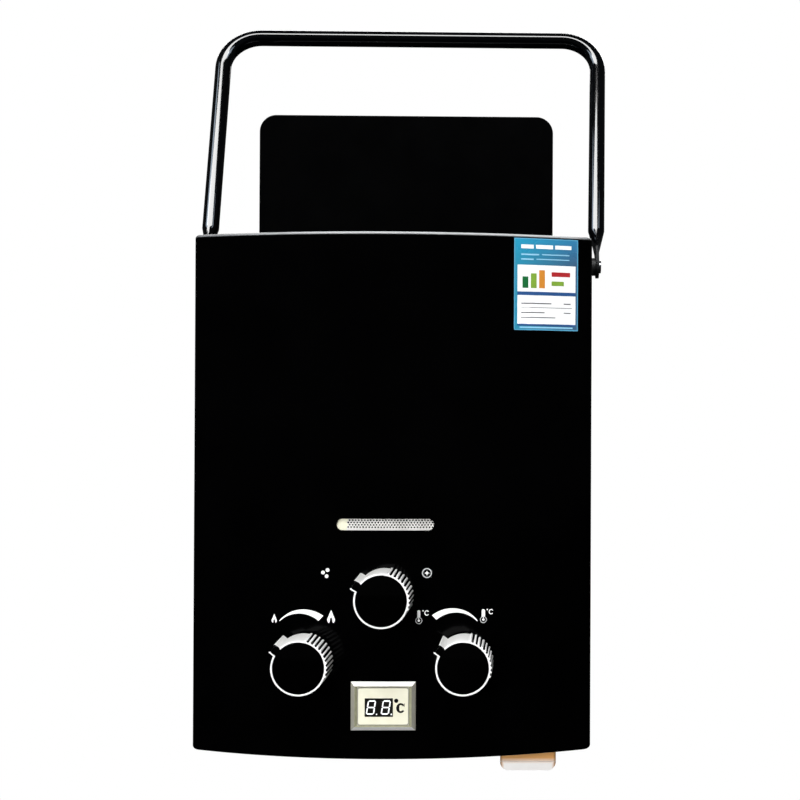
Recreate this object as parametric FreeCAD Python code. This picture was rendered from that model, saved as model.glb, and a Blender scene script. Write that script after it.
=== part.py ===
import FreeCAD, Part
import math
import os
from FreeCAD import Vector

# Portable gas water heater, millimetres. +Z is up and -Y faces the user.
# The origin is the middle of the four wall screw holes, on the outer back face.

# Casing
casing_width = 290.0
casing_height = 374.0
side_depth = 105.0
bow_height = 26.0
sheet = 1.0
corner_radius = 8.0
rim_edge_radius = 2.6
rim_width = 14.0
fit_gap = 0.3
seat_gap = 0.1
running_gap = 0.05
rear_flange_depth = 52.0
rear_lip_depth = 14.0
bottom_recess = 9.0
air_slot_count = 7
air_slot_pitch = 10.0
air_slot_width = 4.0
air_slot_length = 26.0
air_slot_y = -50.0
cut_margin = 5.0

# Wall screw holes and the screws that hold the front cover
wall_hole_inset_x = 35.0
wall_hole_inset_z = 47.0
wall_hole_radius = 2.75
cover_screw_radius = 2.0
cover_screw_head_radius = 4.0
cover_screw_head_height = 2.0
cover_screw_y = -25.0
cover_screw_rise = 37.0
cover_screw_drop = 87.0

# Heat shield that stands behind the exhaust
shield_inset = 26.0
shield_rise = 111.5
shield_overlap = 32.0
shield_thickness = 1.2
shield_corner_radius = 13.5
shield_screw_radius = 2.0
shield_screw_head_radius = 3.8
shield_screw_head_height = 1.8
shield_screw_spacings = (-90.0, -30.0, 30.0, 90.0)
shield_screw_rise = 13.0

# Carrying bail
bail_pivot_y = -35.0
bail_pivot_drop = 14.0
bail_tube_radius = 6.5
bail_tube_wall = 1.2
bail_length = 218.0
bail_lean_degrees = 22.0
bail_splay = 5.3
bail_bend_radius = 30.0
ear_thickness = 2.4
ear_radius = 9.0
ear_length = 10.0
ear_taper_length = 22.0
spacer_length = 6.6
spacer_radius = 7.0
bail_screw_radius = 2.5
bail_screw_head_radius = 5.0
bail_screw_head_height = 1.4
weld_nut_radius = 6.0
weld_nut_length = 5.0

# Combustion chamber, burner and flue
chamber_side_room = 57.0
chamber_depth = 64.0
chamber_back_y = -18.0
burner_frame_rise = 101.0
burner_frame_height = 58.0
burner_frame_ledge = 5.0
frame_foot_width = 14.0
frame_foot_spacing = 120.0
burner_bar_count = 8
burner_side_room = 8.0
burner_bar_width = 9.0
burner_bar_wall = 0.8
burner_bar_drop = 2.0
burner_mouth_radius = 3.6
burner_slot_width = 1.2
burner_slot_depth = 3.0
burner_slot_count = 9
neck_narrowing_x = 12.0
neck_narrowing_y = 9.0
hood_height = 52.0
neck_length = 27.0
sight_slot_width = 60.0
sight_slot_height = 9.0

# Heat exchanger
pipe_radius = 5.0
pipe_wall = 0.8
pipe_bend_radius = 10.0
tube_count = 3
tube_pitch = 16.0
tube_drop = 23.0
tube_overhang = 3.0
fin_thickness = 0.5
fin_pitch = 6.0
fin_height = 26.0
loop_drop = 55.0
cold_riser_y = -45.0
cold_return_offset = 15.0
hot_riser_offset = 18.0

# Gas and water valves
valve_size = 44.0
valve_depth = 60.0
valve_front_y = -95.0
plug_radius = 6.0
plug_length = 11.4
spindle_radius = 3.0
gland_radius = 9.0
gland_length = 5.0
linkage_y = -62.0
linkage_travel = 4.0
push_rod_radius = 2.5
gas_chamber_radius = 13.0
gas_left_wall = 4.0
gas_seat_wall = 6.0
gas_disc_radius = 10.5
gas_disc_thickness = 3.0
gas_seat_width = 2.0
spring_radius = 7.5
spring_wire_radius = 0.7
spring_turns = 5.0
water_chamber_radius = 14.0
water_chamber_depth = 30.0
diaphragm_radius = 21.0
diaphragm_thickness = 1.5
valve_cover_thickness = 11.0
valve_cover_radius = 22.0
valve_cover_bore = 17.0
valve_cover_bore_depth = 7.0
rod_plate_radius = 14.0
rod_plate_thickness = 2.0
collar_radius = 8.0
collar_thickness = 2.0
collar_left = -3.7
cold_outlet_height = 6.0
pipe_socket_depth = 8.0

# Switch, solenoid and igniter
switch_length = 20.0
switch_width = 10.0
switch_height = 10.0
switch_rise = 3.8
switch_left = -30.0
switch_plunger_radius = 1.5
switch_plunger_length = 14.0
switch_plunger_rise = 6.3
solenoid_radius = 11.0
solenoid_length = 30.0
solenoid_plunger_radius = 4.0
solenoid_plunger_length = 18.0
solenoid_stroke = 2.5
gas_port_radius = 3.0
igniter_left = -5.0
igniter_width = 50.0
igniter_depth = 22.0
igniter_rise = 37.0
igniter_height = 34.0
igniter_edge_radius = 2.0
electrode_spacing = 110.0
electrode_rise = 8.0
electrode_radius = 0.8
electrode_reach = 30.0
electrode_tip_length = 7.0
electrode_tail = 6.0
insulator_radius = 3.0
insulator_length = 20.0
insulator_inside = 6.0
thermostat_radius = 8.0
thermostat_length = 7.0
thermostat_drop = 25.0

# Pipe fittings, with G1/2 male threads
thread_radius = 10.48
thread_length = 15.0
fitting_bore_radius = 7.5
fitting_body_radius = 11.5
fitting_collar_radius = 14.0
fitting_collar_length = 4.0
fitting_hole_gap = 0.4
hot_fitting_rise = 28.0
hot_fitting_neck_radius = 8.0
hot_fitting_neck_length = 12.0

# Controls on the front
control_centre_x = -2.7
season_knob_rise = 15.0
lower_knob_rise = 69.9
lower_knob_inset = 88.5
knob_gap = 0.8
knob_length = 24.0
knob_base_radius = 20.0
knob_face_radius = 19.3
knob_wall = 2.2
knob_face_thickness = 3.0
knob_boss_radius = 5.5
knob_hole_radius = 9.0
knob_ring_width = 1.7
knob_cap_thickness = 1.0
knob_cap_recess = 1.2
pointer_width = 6.2
pointer_reach = 25.0
pointer_rim = 0.9
season_pointer_degrees = 146.0
fire_pointer_degrees = 142.6
water_pointer_degrees = 137.0
rib_count = 7
rib_first_degrees = 75.0
rib_last_degrees = 20.0
rib_radius = 0.9
season_valve_width = 30.0
season_valve_depth = 20.0
season_valve_height = 26.0
manifold_size = 12.0
manifold_wall = 1.2
manifold_front_y = -98.0
injector_radius = 2.6
injector_bore_radius = 0.5
gas_riser_radius = 4.0

# Flame window
window_width = 69.0
window_height = 8.2
window_rise = 7.2
mesh_margin = 6.0
mesh_thickness = 0.8

# Temperature display
display_x = -3.3
display_rise = 38.4
bezel_width = 45.8
bezel_height = 34.3
bezel_thickness = 2.5
bezel_opening_width = 36.6
bezel_opening_height = 26.9
bezel_sleeve_wall = 2.4
bezel_sleeve_length = 10.0
display_panel_thickness = 1.4
display_panel_recess = 0.7
display_glass_width = 19.8
display_glass_height = 13.0
display_glass_shift_x = -3.0
display_glass_shift_z = -0.9
display_glass_thickness = 0.5
display_glass_sink = 0.3
board_thickness = 1.6
board_margin = 1.0
led_block_width = 28.0
led_block_height = 18.0

# Battery compartment for two D cells
battery_inset = 45.5
battery_front_y = -95.0
cell_radius = 16.6
cell_length = 61.5
cell_cap_radius = 4.7
cell_cap_height = 1.5
cell_gap = 0.9
box_wall = 3.0
box_flange_width = 3.0
box_flange_thickness = 1.5
box_rise_below = 18.0
door_thickness = 6.5
door_edge_radius = 6.2
contact_thickness = 0.6
hinge_pin_radius = 1.25
hinge_knuckle_radius = 3.0
hinge_offset = 3.6
hinge_knuckle_width = 15.0
hinge_lug_width = 8.0

# Label
label_inset = 34.0
label_width = 46.4
label_height = 66.1
label_drop = 2.9
label_thickness = 0.25

# Derived planes and places
half_width = casing_width / 2
half_height = casing_height / 2
wall_hole_spacing_x = casing_width - 2 * wall_hole_inset_x
wall_hole_spacing_z = casing_height - 2 * wall_hole_inset_z
cover_screw_heights = (-half_height + cover_screw_rise, half_height - cover_screw_drop)
shield_width = casing_width - 2 * shield_inset
chamber_width = casing_width - 2 * chamber_side_room
burner_bar_pitch = (chamber_width - 2 * burner_side_room) / burner_bar_count
neck_width = chamber_width - 2 * neck_narrowing_x
neck_depth = chamber_depth - 2 * neck_narrowing_y
lower_knob_spacing = casing_width - 2 * lower_knob_inset
battery_x = half_width - battery_inset
label_x = half_width - label_inset
lower_knob_height = -half_height + lower_knob_rise
display_z = -half_height + display_rise
burner_frame_bottom = -half_height + burner_frame_rise
chamber_bottom = burner_frame_bottom + burner_frame_height
chamber_top = half_height - neck_length - hood_height
season_knob_height = burner_frame_bottom + season_knob_rise
window_z = chamber_bottom + window_rise
electrode_height = chamber_bottom + electrode_rise
tube_height = chamber_top - tube_drop
loop_height = tube_height - loop_drop
thermostat_height = tube_height - thermostat_drop
igniter_bottom = -half_height + igniter_rise
front_edge_y = -side_depth
apex_y = front_edge_y - bow_height
bow_radius = (half_width ** 2 + bow_height ** 2) / (2 * bow_height)
bow_centre_y = apex_y + bow_radius
flange_half_width = half_width - sheet - fit_gap
top_panel_top = half_height - sheet
top_flange_top = top_panel_top - sheet
bottom_panel_bottom = -half_height + bottom_recess
hot_fitting_top = bottom_panel_bottom + hot_fitting_rise
bail_pivot_z = half_height - bail_pivot_drop
chamber_front_y = chamber_back_y - chamber_depth
chamber_centre_y = (chamber_back_y + chamber_front_y) / 2
valve_back_y = valve_front_y + valve_depth
fire_x = control_centre_x - lower_knob_spacing / 2
water_x = control_centre_x + lower_knob_spacing / 2
gas_body_right = fire_x + valve_size / 2
gas_body_left = fire_x - valve_size / 2
water_body_left = water_x - valve_size / 2
water_body_right = water_x + valve_size / 2
valve_bottom = lower_knob_height - valve_size / 2
fitting_end = -half_height - thread_length
knob_back_y = apex_y - knob_gap
knob_face_y = knob_back_y - knob_length
season_valve_front_y = manifold_front_y - season_valve_depth
first_tube_y = chamber_centre_y - (tube_count - 1) * tube_pitch / 2
last_tube_y = first_tube_y + (tube_count - 1) * tube_pitch
loop_offset = pipe_radius + fit_gap
x_axis = Vector(1, 0, 0)
y_axis = Vector(0, 1, 0)
z_axis = Vector(0, 0, 1)


def save(name, *solids):
    shape = solids[0] if len(solids) == 1 else Part.makeCompound(list(solids))
    shape.exportStep(os.path.join("parts", name + ".step"))


def box(x0, x1, y0, y1, z0, z1):
    return Part.makeBox(x1 - x0, y1 - y0, z1 - z0, Vector(x0, y0, z0))


def box_at(x, z, width, height, y0, y1):
    return box(x - width / 2, x + width / 2, y0, y1, z - height / 2, z + height / 2)


def rod(x, y, z, axis, radius, length):
    return Part.makeCylinder(radius, length, Vector(x, y, z), axis)


def ring(x, y, z, axis, outer, inner, length):
    return rod(x, y, z, axis, outer, length).cut(rod(x, y, z, axis, inner, length))


def bent_path(points, bend_radius):
    """Straight runs joined by tangent arcs."""
    edges = []
    start = points[0]
    for before, corner, after in zip(points, points[1:], points[2:]):
        incoming = (corner - before).normalize()
        outgoing = (after - corner).normalize()
        turn = incoming.getAngle(outgoing)
        setback = bend_radius * math.tan(turn / 2)
        arc_start = corner - incoming * setback
        arc_end = corner + outgoing * setback
        inward = (outgoing - incoming).normalize()
        reach = bend_radius / math.cos(turn / 2) - bend_radius
        edges.append(Part.makeLine(start, arc_start))
        edges.append(Part.Arc(arc_start, corner + inward * reach, arc_end).toShape())
        start = arc_end
    edges.append(Part.makeLine(start, points[-1]))
    return Part.Wire(edges)


def swept_rod(path, radius):
    start = path.Edges[0].firstVertex().Point
    direction = path.Edges[0].tangentAt(path.Edges[0].FirstParameter)
    section = Part.Wire([Part.makeCircle(radius, start, direction)])
    return path.makePipeShell([section], True, False)


def swept_tube(path, radius, wall):
    return swept_rod(path, radius).cut(swept_rod(path, radius - wall))


def casing_prism(inset, back_y, z0, z1):
    """Plan outline of the casing, inset all round, extruded from z0 to z1."""
    radius = max(corner_radius - inset, sheet)
    side = half_width - inset
    arc_radius = bow_radius - inset
    corner_x = side - radius
    corner_y = bow_centre_y - math.sqrt((arc_radius - radius) ** 2 - corner_x ** 2)
    reach = math.hypot(corner_x, bow_centre_y - corner_y)
    touch_x = corner_x * arc_radius / reach
    touch_y = bow_centre_y - (bow_centre_y - corner_y) * arc_radius / reach
    middle = math.atan2(touch_y - corner_y, touch_x - corner_x) / 2
    middle_x = corner_x + radius * math.cos(middle)
    middle_y = corner_y + radius * math.sin(middle)

    def at(x, y):
        return Vector(x, y, z0)

    edges = [
        Part.makeLine(at(-side, back_y), at(-side, corner_y)),
        Part.Arc(at(-side, corner_y), at(-middle_x, middle_y), at(-touch_x, touch_y)).toShape(),
        Part.Arc(at(-touch_x, touch_y), at(0, apex_y + inset), at(touch_x, touch_y)).toShape(),
        Part.Arc(at(touch_x, touch_y), at(middle_x, middle_y), at(side, corner_y)).toShape(),
        Part.makeLine(at(side, corner_y), at(side, back_y)),
        Part.makeLine(at(side, back_y), at(-side, back_y)),
    ]
    return Part.Face(Part.Wire(edges)).extrude(Vector(0, 0, z1 - z0))


def bowed_sheet(x0, x1, z0, z1, inset, thickness):
    """Piece of sheet that follows the bowed front, its outer face at the inset."""
    outer = Part.makeCylinder(bow_radius - inset, z1 - z0, Vector(0, bow_centre_y, z0))
    inner = Part.makeCylinder(bow_radius - inset - thickness, z1 - z0, Vector(0, bow_centre_y, z0))
    return outer.cut(inner).common(box(x0, x1, apex_y - cut_margin, 0, z0, z1))


def stadium(x, z, width, height, y0, y1):
    radius = height / 2
    reach = width / 2 - radius
    body = box_at(x, z, 2 * reach, height, y0, y1)
    left = rod(x - reach, y0, z, y_axis, radius, y1 - y0)
    right = rod(x + reach, y0, z, y_axis, radius, y1 - y0)
    return body.fuse([left, right]).removeSplitter()


def rounded_plate(x0, x1, y0, y1, z0, z1, radius):
    """Upright plate with rounded upper corners."""
    plate = box(x0, x1, y0, y1, z0, z1)
    corners = [edge for edge in plate.Edges if is_along(edge, 1) and edge.BoundBox.ZMin > (z0 + z1) / 2]
    return plate.makeFillet(radius, corners)


def is_along(edge, axis):
    direction = edge.lastVertex().Point - edge.firstVertex().Point
    return abs(abs(direction[axis]) - edge.Length) < 1e-6


# ------------------------------------------------------------------ casing

def bail_pivot_cut(radius):
    return rod(-half_width - cut_margin, bail_pivot_y, bail_pivot_z, x_axis, radius,
               casing_width + 2 * cut_margin)


def cover_screw_places():
    return [(side, z) for side in (-1, 1) for z in cover_screw_heights]


def cover_screw_cut(radius):
    return [rod(-half_width - cut_margin, cover_screw_y, z, x_axis, radius,
                casing_width + 2 * cut_margin) for z in cover_screw_heights]


def front_cover():
    back_y = -sheet - fit_gap
    shell = casing_prism(0, back_y, -half_height, half_height)
    rims = [edge for edge in shell.Edges
            if abs(abs(edge.CenterOfMass.z) - half_height) < sheet and not is_along(edge, 2)
            and edge.CenterOfMass.y < back_y - sheet]
    shell = shell.makeFillet(rim_edge_radius, rims)
    hollow = casing_prism(sheet, cut_margin, -half_height + sheet, half_height - sheet)
    mouth = casing_prism(rim_width, cut_margin, -half_height - cut_margin, half_height + cut_margin)
    front = apex_y - cut_margin
    window = stadium(control_centre_x, window_z, window_width, window_height, front, front_edge_y)
    display = box_at(display_x, display_z, bezel_opening_width + 2 * (bezel_sleeve_wall + fit_gap),
                     bezel_opening_height + 2 * (bezel_sleeve_wall + fit_gap), front, front_edge_y)
    knobs = [rod(x, front, z, y_axis, knob_hole_radius, -front + front_edge_y)
             for x, z in knob_places()]
    cuts = [hollow, mouth, window, display, bail_pivot_cut(bail_screw_radius + running_gap)]
    return shell.cut(cuts + knobs + cover_screw_cut(cover_screw_radius + running_gap))


def rear_casing():
    back = box(-half_width, half_width, -sheet, 0, -half_height, half_height)
    low = bottom_panel_bottom + sheet
    inner = flange_half_width - sheet
    tray = box(-flange_half_width, flange_half_width, -rear_flange_depth, 0, low, top_flange_top)
    hollow = box(-inner, inner, -rear_flange_depth, -sheet, low + sheet, top_flange_top - sheet)
    lip_room = box(-inner, inner, -rear_flange_depth, -rear_lip_depth, low, top_flange_top)
    casing = tray.cut([hollow, lip_room]).fuse(back)
    for side in (-1, 1):
        start = side * inner if side < 0 else inner - weld_nut_length
        casing = casing.fuse(rod(start, bail_pivot_y, bail_pivot_z, x_axis, weld_nut_radius,
                                 weld_nut_length))
    slot = box(-shield_width / 2 - fit_gap, shield_width / 2 + fit_gap,
               -sheet - shield_thickness - fit_gap, -sheet, top_flange_top - 2 * sheet, half_height)
    wall_holes = [rod(x * wall_hole_spacing_x / 2, -cut_margin, z * wall_hole_spacing_z / 2, y_axis,
                      wall_hole_radius, 2 * cut_margin) for x in (-1, 1) for z in (-1, 1)]
    shield_holes = [rod(x, -cut_margin, z, y_axis, shield_screw_radius + running_gap, 2 * cut_margin)
                    for x, z in shield_screw_places()]
    cuts = [slot, bail_pivot_cut(bail_screw_radius + running_gap)] + wall_holes + shield_holes
    return casing.cut(cuts + cover_screw_cut(cover_screw_radius + running_gap)).removeSplitter()


def top_panel():
    back_y = -sheet - shield_thickness - fit_gap
    panel = casing_prism(sheet + fit_gap, back_y, top_flange_top, top_panel_top)
    gap = fit_gap
    opening = box(-neck_width / 2 - gap, neck_width / 2 + gap,
                  chamber_centre_y - neck_depth / 2 - gap, chamber_centre_y + neck_depth / 2 + gap,
                  top_flange_top - sheet, half_height)
    return panel.cut(opening)


def bottom_panel():
    top = bottom_panel_bottom + sheet
    panel = casing_prism(sheet + fit_gap, -sheet, bottom_panel_bottom, top)
    holes = [rod(x, y, bottom_panel_bottom - sheet, z_axis, fitting_body_radius + fitting_hole_gap,
                 4 * sheet) for x, y in fitting_places()]
    x0, x1, y0, y1 = battery_box_plan()
    battery = box(x0 - fit_gap, x1 + fit_gap, y0 - fit_gap, y1 + fit_gap,
                  bottom_panel_bottom - sheet, top + sheet)
    return panel.cut(holes + [battery] + air_slots())


def air_slots():
    first = -(air_slot_count - 1) * air_slot_pitch / 2
    slot = box(first - air_slot_width / 2, first + air_slot_width / 2,
               air_slot_y - air_slot_length / 2, air_slot_y + air_slot_length / 2,
               bottom_panel_bottom - sheet, bottom_panel_bottom + 2 * sheet)
    return [slot.translated(Vector(index * air_slot_pitch, 0, 0)) for index in range(air_slot_count)]


def shield_screw_places():
    z = half_height - shield_overlap + shield_screw_rise
    return [(x, z) for x in shield_screw_spacings]


def heat_shield():
    plate = rounded_plate(-shield_width / 2, shield_width / 2, -sheet - shield_thickness, -sheet,
                          half_height - shield_overlap, half_height + shield_rise,
                          shield_corner_radius)
    holes = [rod(x, -cut_margin, z, y_axis, shield_screw_radius + running_gap, 2 * cut_margin)
             for x, z in shield_screw_places()]
    return plate.cut(holes)


def shield_screws():
    head_y = -sheet - shield_thickness - shield_screw_head_height
    screws = []
    for x, z in shield_screw_places():
        head = rod(x, head_y, z, y_axis, shield_screw_head_radius, shield_screw_head_height)
        screws.append(head.fuse(rod(x, head_y, z, y_axis, shield_screw_radius, -head_y)))
    return screws


def cover_screws():
    screws = []
    length = cover_screw_head_height + 2 * sheet + fit_gap + sheet
    for side, z in cover_screw_places():
        start = side * (half_width + cover_screw_head_height)
        inward = x_axis * -side
        head = rod(start, cover_screw_y, z, inward, cover_screw_head_radius, cover_screw_head_height)
        screws.append(head.fuse(rod(start, cover_screw_y, z, inward, cover_screw_radius, length)))
    return screws


# -------------------------------------------------------------------- bail

ear_start = half_width + spacer_length + fit_gap
bail_leg_x = ear_start + ear_thickness / 2


def leaned(shape):
    shape.rotate(Vector(0, bail_pivot_y, bail_pivot_z), x_axis, -bail_lean_degrees)
    return shape


def bail_ear(side):
    """Flattened end of the tube, with the pivot hole and the taper up to the round tube."""
    x = side * bail_leg_x
    plate = box(x - ear_thickness / 2, x + ear_thickness / 2, bail_pivot_y - ear_radius,
                bail_pivot_y + ear_radius, bail_pivot_z, bail_pivot_z + ear_length)
    end = rod(x - ear_thickness / 2, bail_pivot_y, bail_pivot_z, x_axis, ear_radius, ear_thickness)
    top = bail_pivot_z + ear_length
    flat = Part.makePolygon([
        Vector(x - ear_thickness / 2, bail_pivot_y - ear_radius, top),
        Vector(x + ear_thickness / 2, bail_pivot_y - ear_radius, top),
        Vector(x + ear_thickness / 2, bail_pivot_y + ear_radius, top),
        Vector(x - ear_thickness / 2, bail_pivot_y + ear_radius, top),
        Vector(x - ear_thickness / 2, bail_pivot_y - ear_radius, top)])
    leg_start = Vector(x, bail_pivot_y, top + ear_taper_length)
    leg_end = Vector(x + side * bail_splay, bail_pivot_y, bail_pivot_z + bail_length)
    round_end = Part.Wire([Part.makeCircle(bail_tube_radius, leg_start, leg_end - leg_start)])
    taper = Part.makeLoft([flat, round_end], True)
    hole = rod(x - ear_thickness, bail_pivot_y, bail_pivot_z, x_axis,
               bail_screw_radius + running_gap, 2 * ear_thickness)
    return plate.fuse([end, taper]).cut(hole)


def bail_handle():
    start = bail_pivot_z + ear_length + ear_taper_length
    top = bail_pivot_z + bail_length
    y = bail_pivot_y
    path = bent_path([Vector(-bail_leg_x, y, start), Vector(-bail_leg_x - bail_splay, y, top),
                      Vector(bail_leg_x + bail_splay, y, top), Vector(bail_leg_x, y, start)],
                     bail_bend_radius)
    tube = swept_tube(path, bail_tube_radius, bail_tube_wall)
    return leaned(tube.fuse([bail_ear(-1), bail_ear(1)]))


def bail_screws():
    outer = ear_start + ear_thickness + fit_gap
    length = outer - flange_half_width + sheet + weld_nut_length + bail_screw_head_height
    screws = []
    for side in (-1, 1):
        start = side * (outer + bail_screw_head_height)
        inward = x_axis * -side
        head = rod(start, bail_pivot_y, bail_pivot_z, inward, bail_screw_head_radius,
                   bail_screw_head_height)
        screws.append(head.fuse(rod(start, bail_pivot_y, bail_pivot_z, inward, bail_screw_radius,
                                    length)))
    return screws


def bail_spacers():
    return [ring(side * half_width, bail_pivot_y, bail_pivot_z, x_axis * side, spacer_radius,
                 bail_screw_radius + running_gap, spacer_length) for side in (-1, 1)]


# ----------------------------------------------- flue, chamber and burner

def chamber_box(inset, z0, z1):
    """Chamber outline, inset all round, its corners rounded so that the pipe bends clear them."""
    half = chamber_width / 2 - inset
    body = box(-half, half, chamber_front_y + inset, chamber_back_y - inset, z0, z1)
    radius = pipe_bend_radius - loop_offset - inset
    if radius < seat_gap:
        return body
    return body.makeFillet(radius, [edge for edge in body.Edges if is_along(edge, 2)])


def rectangle_wire(width, depth, z):
    y = chamber_centre_y
    corners = [(-width / 2, y - depth / 2), (width / 2, y - depth / 2),
               (width / 2, y + depth / 2), (-width / 2, y + depth / 2)]
    return Part.makePolygon([Vector(x, y, z) for x, y in corners + corners[:1]])


def hood_solid(inset):
    neck_start = chamber_top + hood_height
    taper = Part.makeLoft([
        rectangle_wire(chamber_width - 2 * inset, chamber_depth - 2 * inset, chamber_top),
        rectangle_wire(neck_width - 2 * inset, neck_depth - 2 * inset, neck_start)], True, True)
    neck = box(-neck_width / 2 + inset, neck_width / 2 - inset,
               chamber_centre_y - neck_depth / 2 + inset, chamber_centre_y + neck_depth / 2 - inset,
               neck_start, half_height)
    return taper.fuse(neck)


def flue_hood():
    return hood_solid(0).cut(hood_solid(sheet)).removeSplitter()


def tube_places():
    return [first_tube_y + index * tube_pitch for index in range(tube_count)]


def exchanger_shell():
    shell = chamber_box(0, chamber_bottom, chamber_top)
    shell = shell.cut(chamber_box(sheet, chamber_bottom, chamber_top))
    reach = chamber_width / 2 + cut_margin
    tubes = [rod(-reach, y, tube_height, x_axis, pipe_radius + running_gap, 2 * reach)
             for y in tube_places()]
    sight = stadium(control_centre_x, window_z, sight_slot_width, sight_slot_height,
                    chamber_front_y - sheet, chamber_front_y + 2 * sheet)
    insulators = [rod(x, chamber_front_y - sheet, electrode_height, y_axis,
                      insulator_radius + running_gap, 3 * sheet) for x in electrode_places()]
    return shell.cut(tubes + [sight] + insulators)


def exchanger_fins():
    y0 = chamber_front_y + sheet + seat_gap
    y1 = chamber_back_y - sheet - seat_gap
    z0 = tube_height - fin_height / 2
    holes = [rod(0, y, tube_height, x_axis, pipe_radius + running_gap, fin_thickness)
             for y in tube_places()]
    fin = box(0, fin_thickness, y0, y1, z0, z0 + fin_height).cut(holes)
    count = int((chamber_width - 2 * sheet - fin_pitch) // fin_pitch)
    start = -(count - 1) * fin_pitch / 2 - fin_thickness / 2
    return [fin.translated(Vector(start + index * fin_pitch, 0, 0)) for index in range(count)]


def exchanger_tubes():
    """One tube that runs through the fins three times, turning back outside the shell."""
    end = chamber_width / 2 + tube_overhang
    turn = end + tube_pitch / 2
    points = [Vector(end, first_tube_y, tube_height)]
    side = -1
    for y, following in zip(tube_places(), tube_places()[1:]):
        points.append(Vector(side * turn, y, tube_height))
        points.append(Vector(side * turn, following, tube_height))
        side = -side
    points.append(Vector(side * end, last_tube_y, tube_height))
    return swept_tube(bent_path(points, tube_pitch / 2 - seat_gap), pipe_radius, pipe_wall)


def cold_pipe():
    """Riser from the water valve, once round the chamber, then up to the first fin tube."""
    outlet_z = lower_knob_height + cold_outlet_height
    riser_x = chamber_width / 2 + loop_offset
    return_x = riser_x + cold_return_offset - pipe_radius
    back = chamber_back_y + loop_offset
    front = chamber_front_y - loop_offset
    points = [Vector(water_body_right - pipe_socket_depth, cold_riser_y, outlet_z),
              Vector(riser_x, cold_riser_y, outlet_z), Vector(riser_x, cold_riser_y, loop_height),
              Vector(riser_x, back, loop_height), Vector(-riser_x, back, loop_height),
              Vector(-riser_x, front, loop_height), Vector(return_x, front, loop_height),
              Vector(return_x, first_tube_y, loop_height), Vector(return_x, first_tube_y, tube_height),
              Vector(chamber_width / 2 + tube_overhang, first_tube_y, tube_height)]
    return swept_tube(bent_path(points, pipe_bend_radius), pipe_radius, pipe_wall)


hot_pipe_x = -(chamber_width / 2 + hot_riser_offset)


def hot_pipe():
    points = [Vector(-chamber_width / 2 - tube_overhang, last_tube_y, tube_height),
              Vector(hot_pipe_x, last_tube_y, tube_height),
              Vector(hot_pipe_x, last_tube_y, hot_fitting_top)]
    return swept_tube(bent_path(points, pipe_bend_radius), pipe_radius, pipe_wall)


def burner_bar_places():
    start = -(burner_bar_count - 1) * burner_bar_pitch / 2
    return [start + index * burner_bar_pitch for index in range(burner_bar_count)]


def burner_frame():
    walls = chamber_box(0, burner_frame_bottom, chamber_bottom)
    walls = walls.cut(chamber_box(sheet, burner_frame_bottom, chamber_bottom))
    ledge = chamber_box(0, burner_frame_bottom, burner_frame_bottom + sheet)
    ledge = ledge.cut(chamber_box(burner_frame_ledge, burner_frame_bottom - sheet, chamber_bottom))
    feet = []
    for side in (-1, 1):
        x = side * frame_foot_spacing / 2
        arm = box(x - frame_foot_width / 2, x + frame_foot_width / 2, chamber_back_y, -sheet,
                  burner_frame_bottom, burner_frame_bottom + sheet)
        pad = box(x - frame_foot_width / 2, x + frame_foot_width / 2, -2 * sheet, -sheet,
                  burner_frame_bottom, burner_frame_bottom + frame_foot_width)
        feet += [arm, pad]
    mouths = [rod(x, chamber_front_y - sheet, season_knob_height, y_axis,
                  injector_radius + running_gap, 3 * sheet) for x in burner_bar_places()]
    return walls.fuse([ledge] + feet).cut(mouths)


def burner_bars():
    y0 = chamber_front_y + sheet + fit_gap
    y1 = chamber_back_y - sheet - fit_gap
    z0 = burner_frame_bottom + sheet
    z1 = chamber_bottom - burner_bar_drop
    half = burner_bar_width / 2
    wall = burner_bar_wall
    bar = box(-half, half, y0, y1, z0, z1)
    hollow = box(-half + wall, half - wall, y0 + wall, y1 - wall, z0 + wall, z1 - wall)
    mouth = rod(0, y0, season_knob_height, y_axis, burner_mouth_radius, 2 * wall)
    pitch = (y1 - y0) / (burner_slot_count + 1)
    slots = []
    for index in range(burner_slot_count):
        y = y0 + (index + 1) * pitch
        slots.append(box(-half + sheet, half - sheet, y - burner_slot_width / 2,
                         y + burner_slot_width / 2, z1 - burner_slot_depth, z1))
    bar = bar.cut([hollow, mouth] + slots)
    return [bar.translated(Vector(x, 0, 0)) for x in burner_bar_places()]


def gas_manifold():
    reach = burner_bar_places()[-1] + burner_bar_width
    half = manifold_size / 2
    z = season_knob_height
    y0, y1 = manifold_front_y, manifold_front_y + manifold_size
    wall = manifold_wall
    body = box(-reach, reach, y0, y1, z - half, z + half)
    branch_y = manifold_front_y + half
    branch_start = lower_knob_height + valve_size / 2
    branch = rod(fire_x, branch_y, branch_start, z_axis, gas_riser_radius, z - half - branch_start + wall)
    hollow = box(-reach + wall, reach - wall, y0 + wall, y1 - wall, z - half + wall, z + half - wall)
    bore = rod(fire_x, branch_y, branch_start, z_axis, gas_riser_radius - wall, z - branch_start)
    seats = [rod(x, y1 - 2 * wall, z, y_axis, injector_radius / 2, 3 * wall) for x in burner_bar_places()]
    return body.fuse(branch).cut([hollow, bore] + seats)


def gas_injectors():
    start = manifold_front_y + manifold_size
    length = chamber_front_y + sheet - start
    return [ring(x, start, season_knob_height, y_axis, injector_radius, injector_bore_radius, length)
            for x in burner_bar_places()]


def electrode_places():
    return [control_centre_x - electrode_spacing / 2, control_centre_x + electrode_spacing / 2]


def electrode_insulators():
    start = chamber_front_y + insulator_inside - insulator_length
    return [ring(x, start, electrode_height, y_axis, insulator_radius,
                 electrode_radius + running_gap, insulator_length) for x in electrode_places()]


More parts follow.
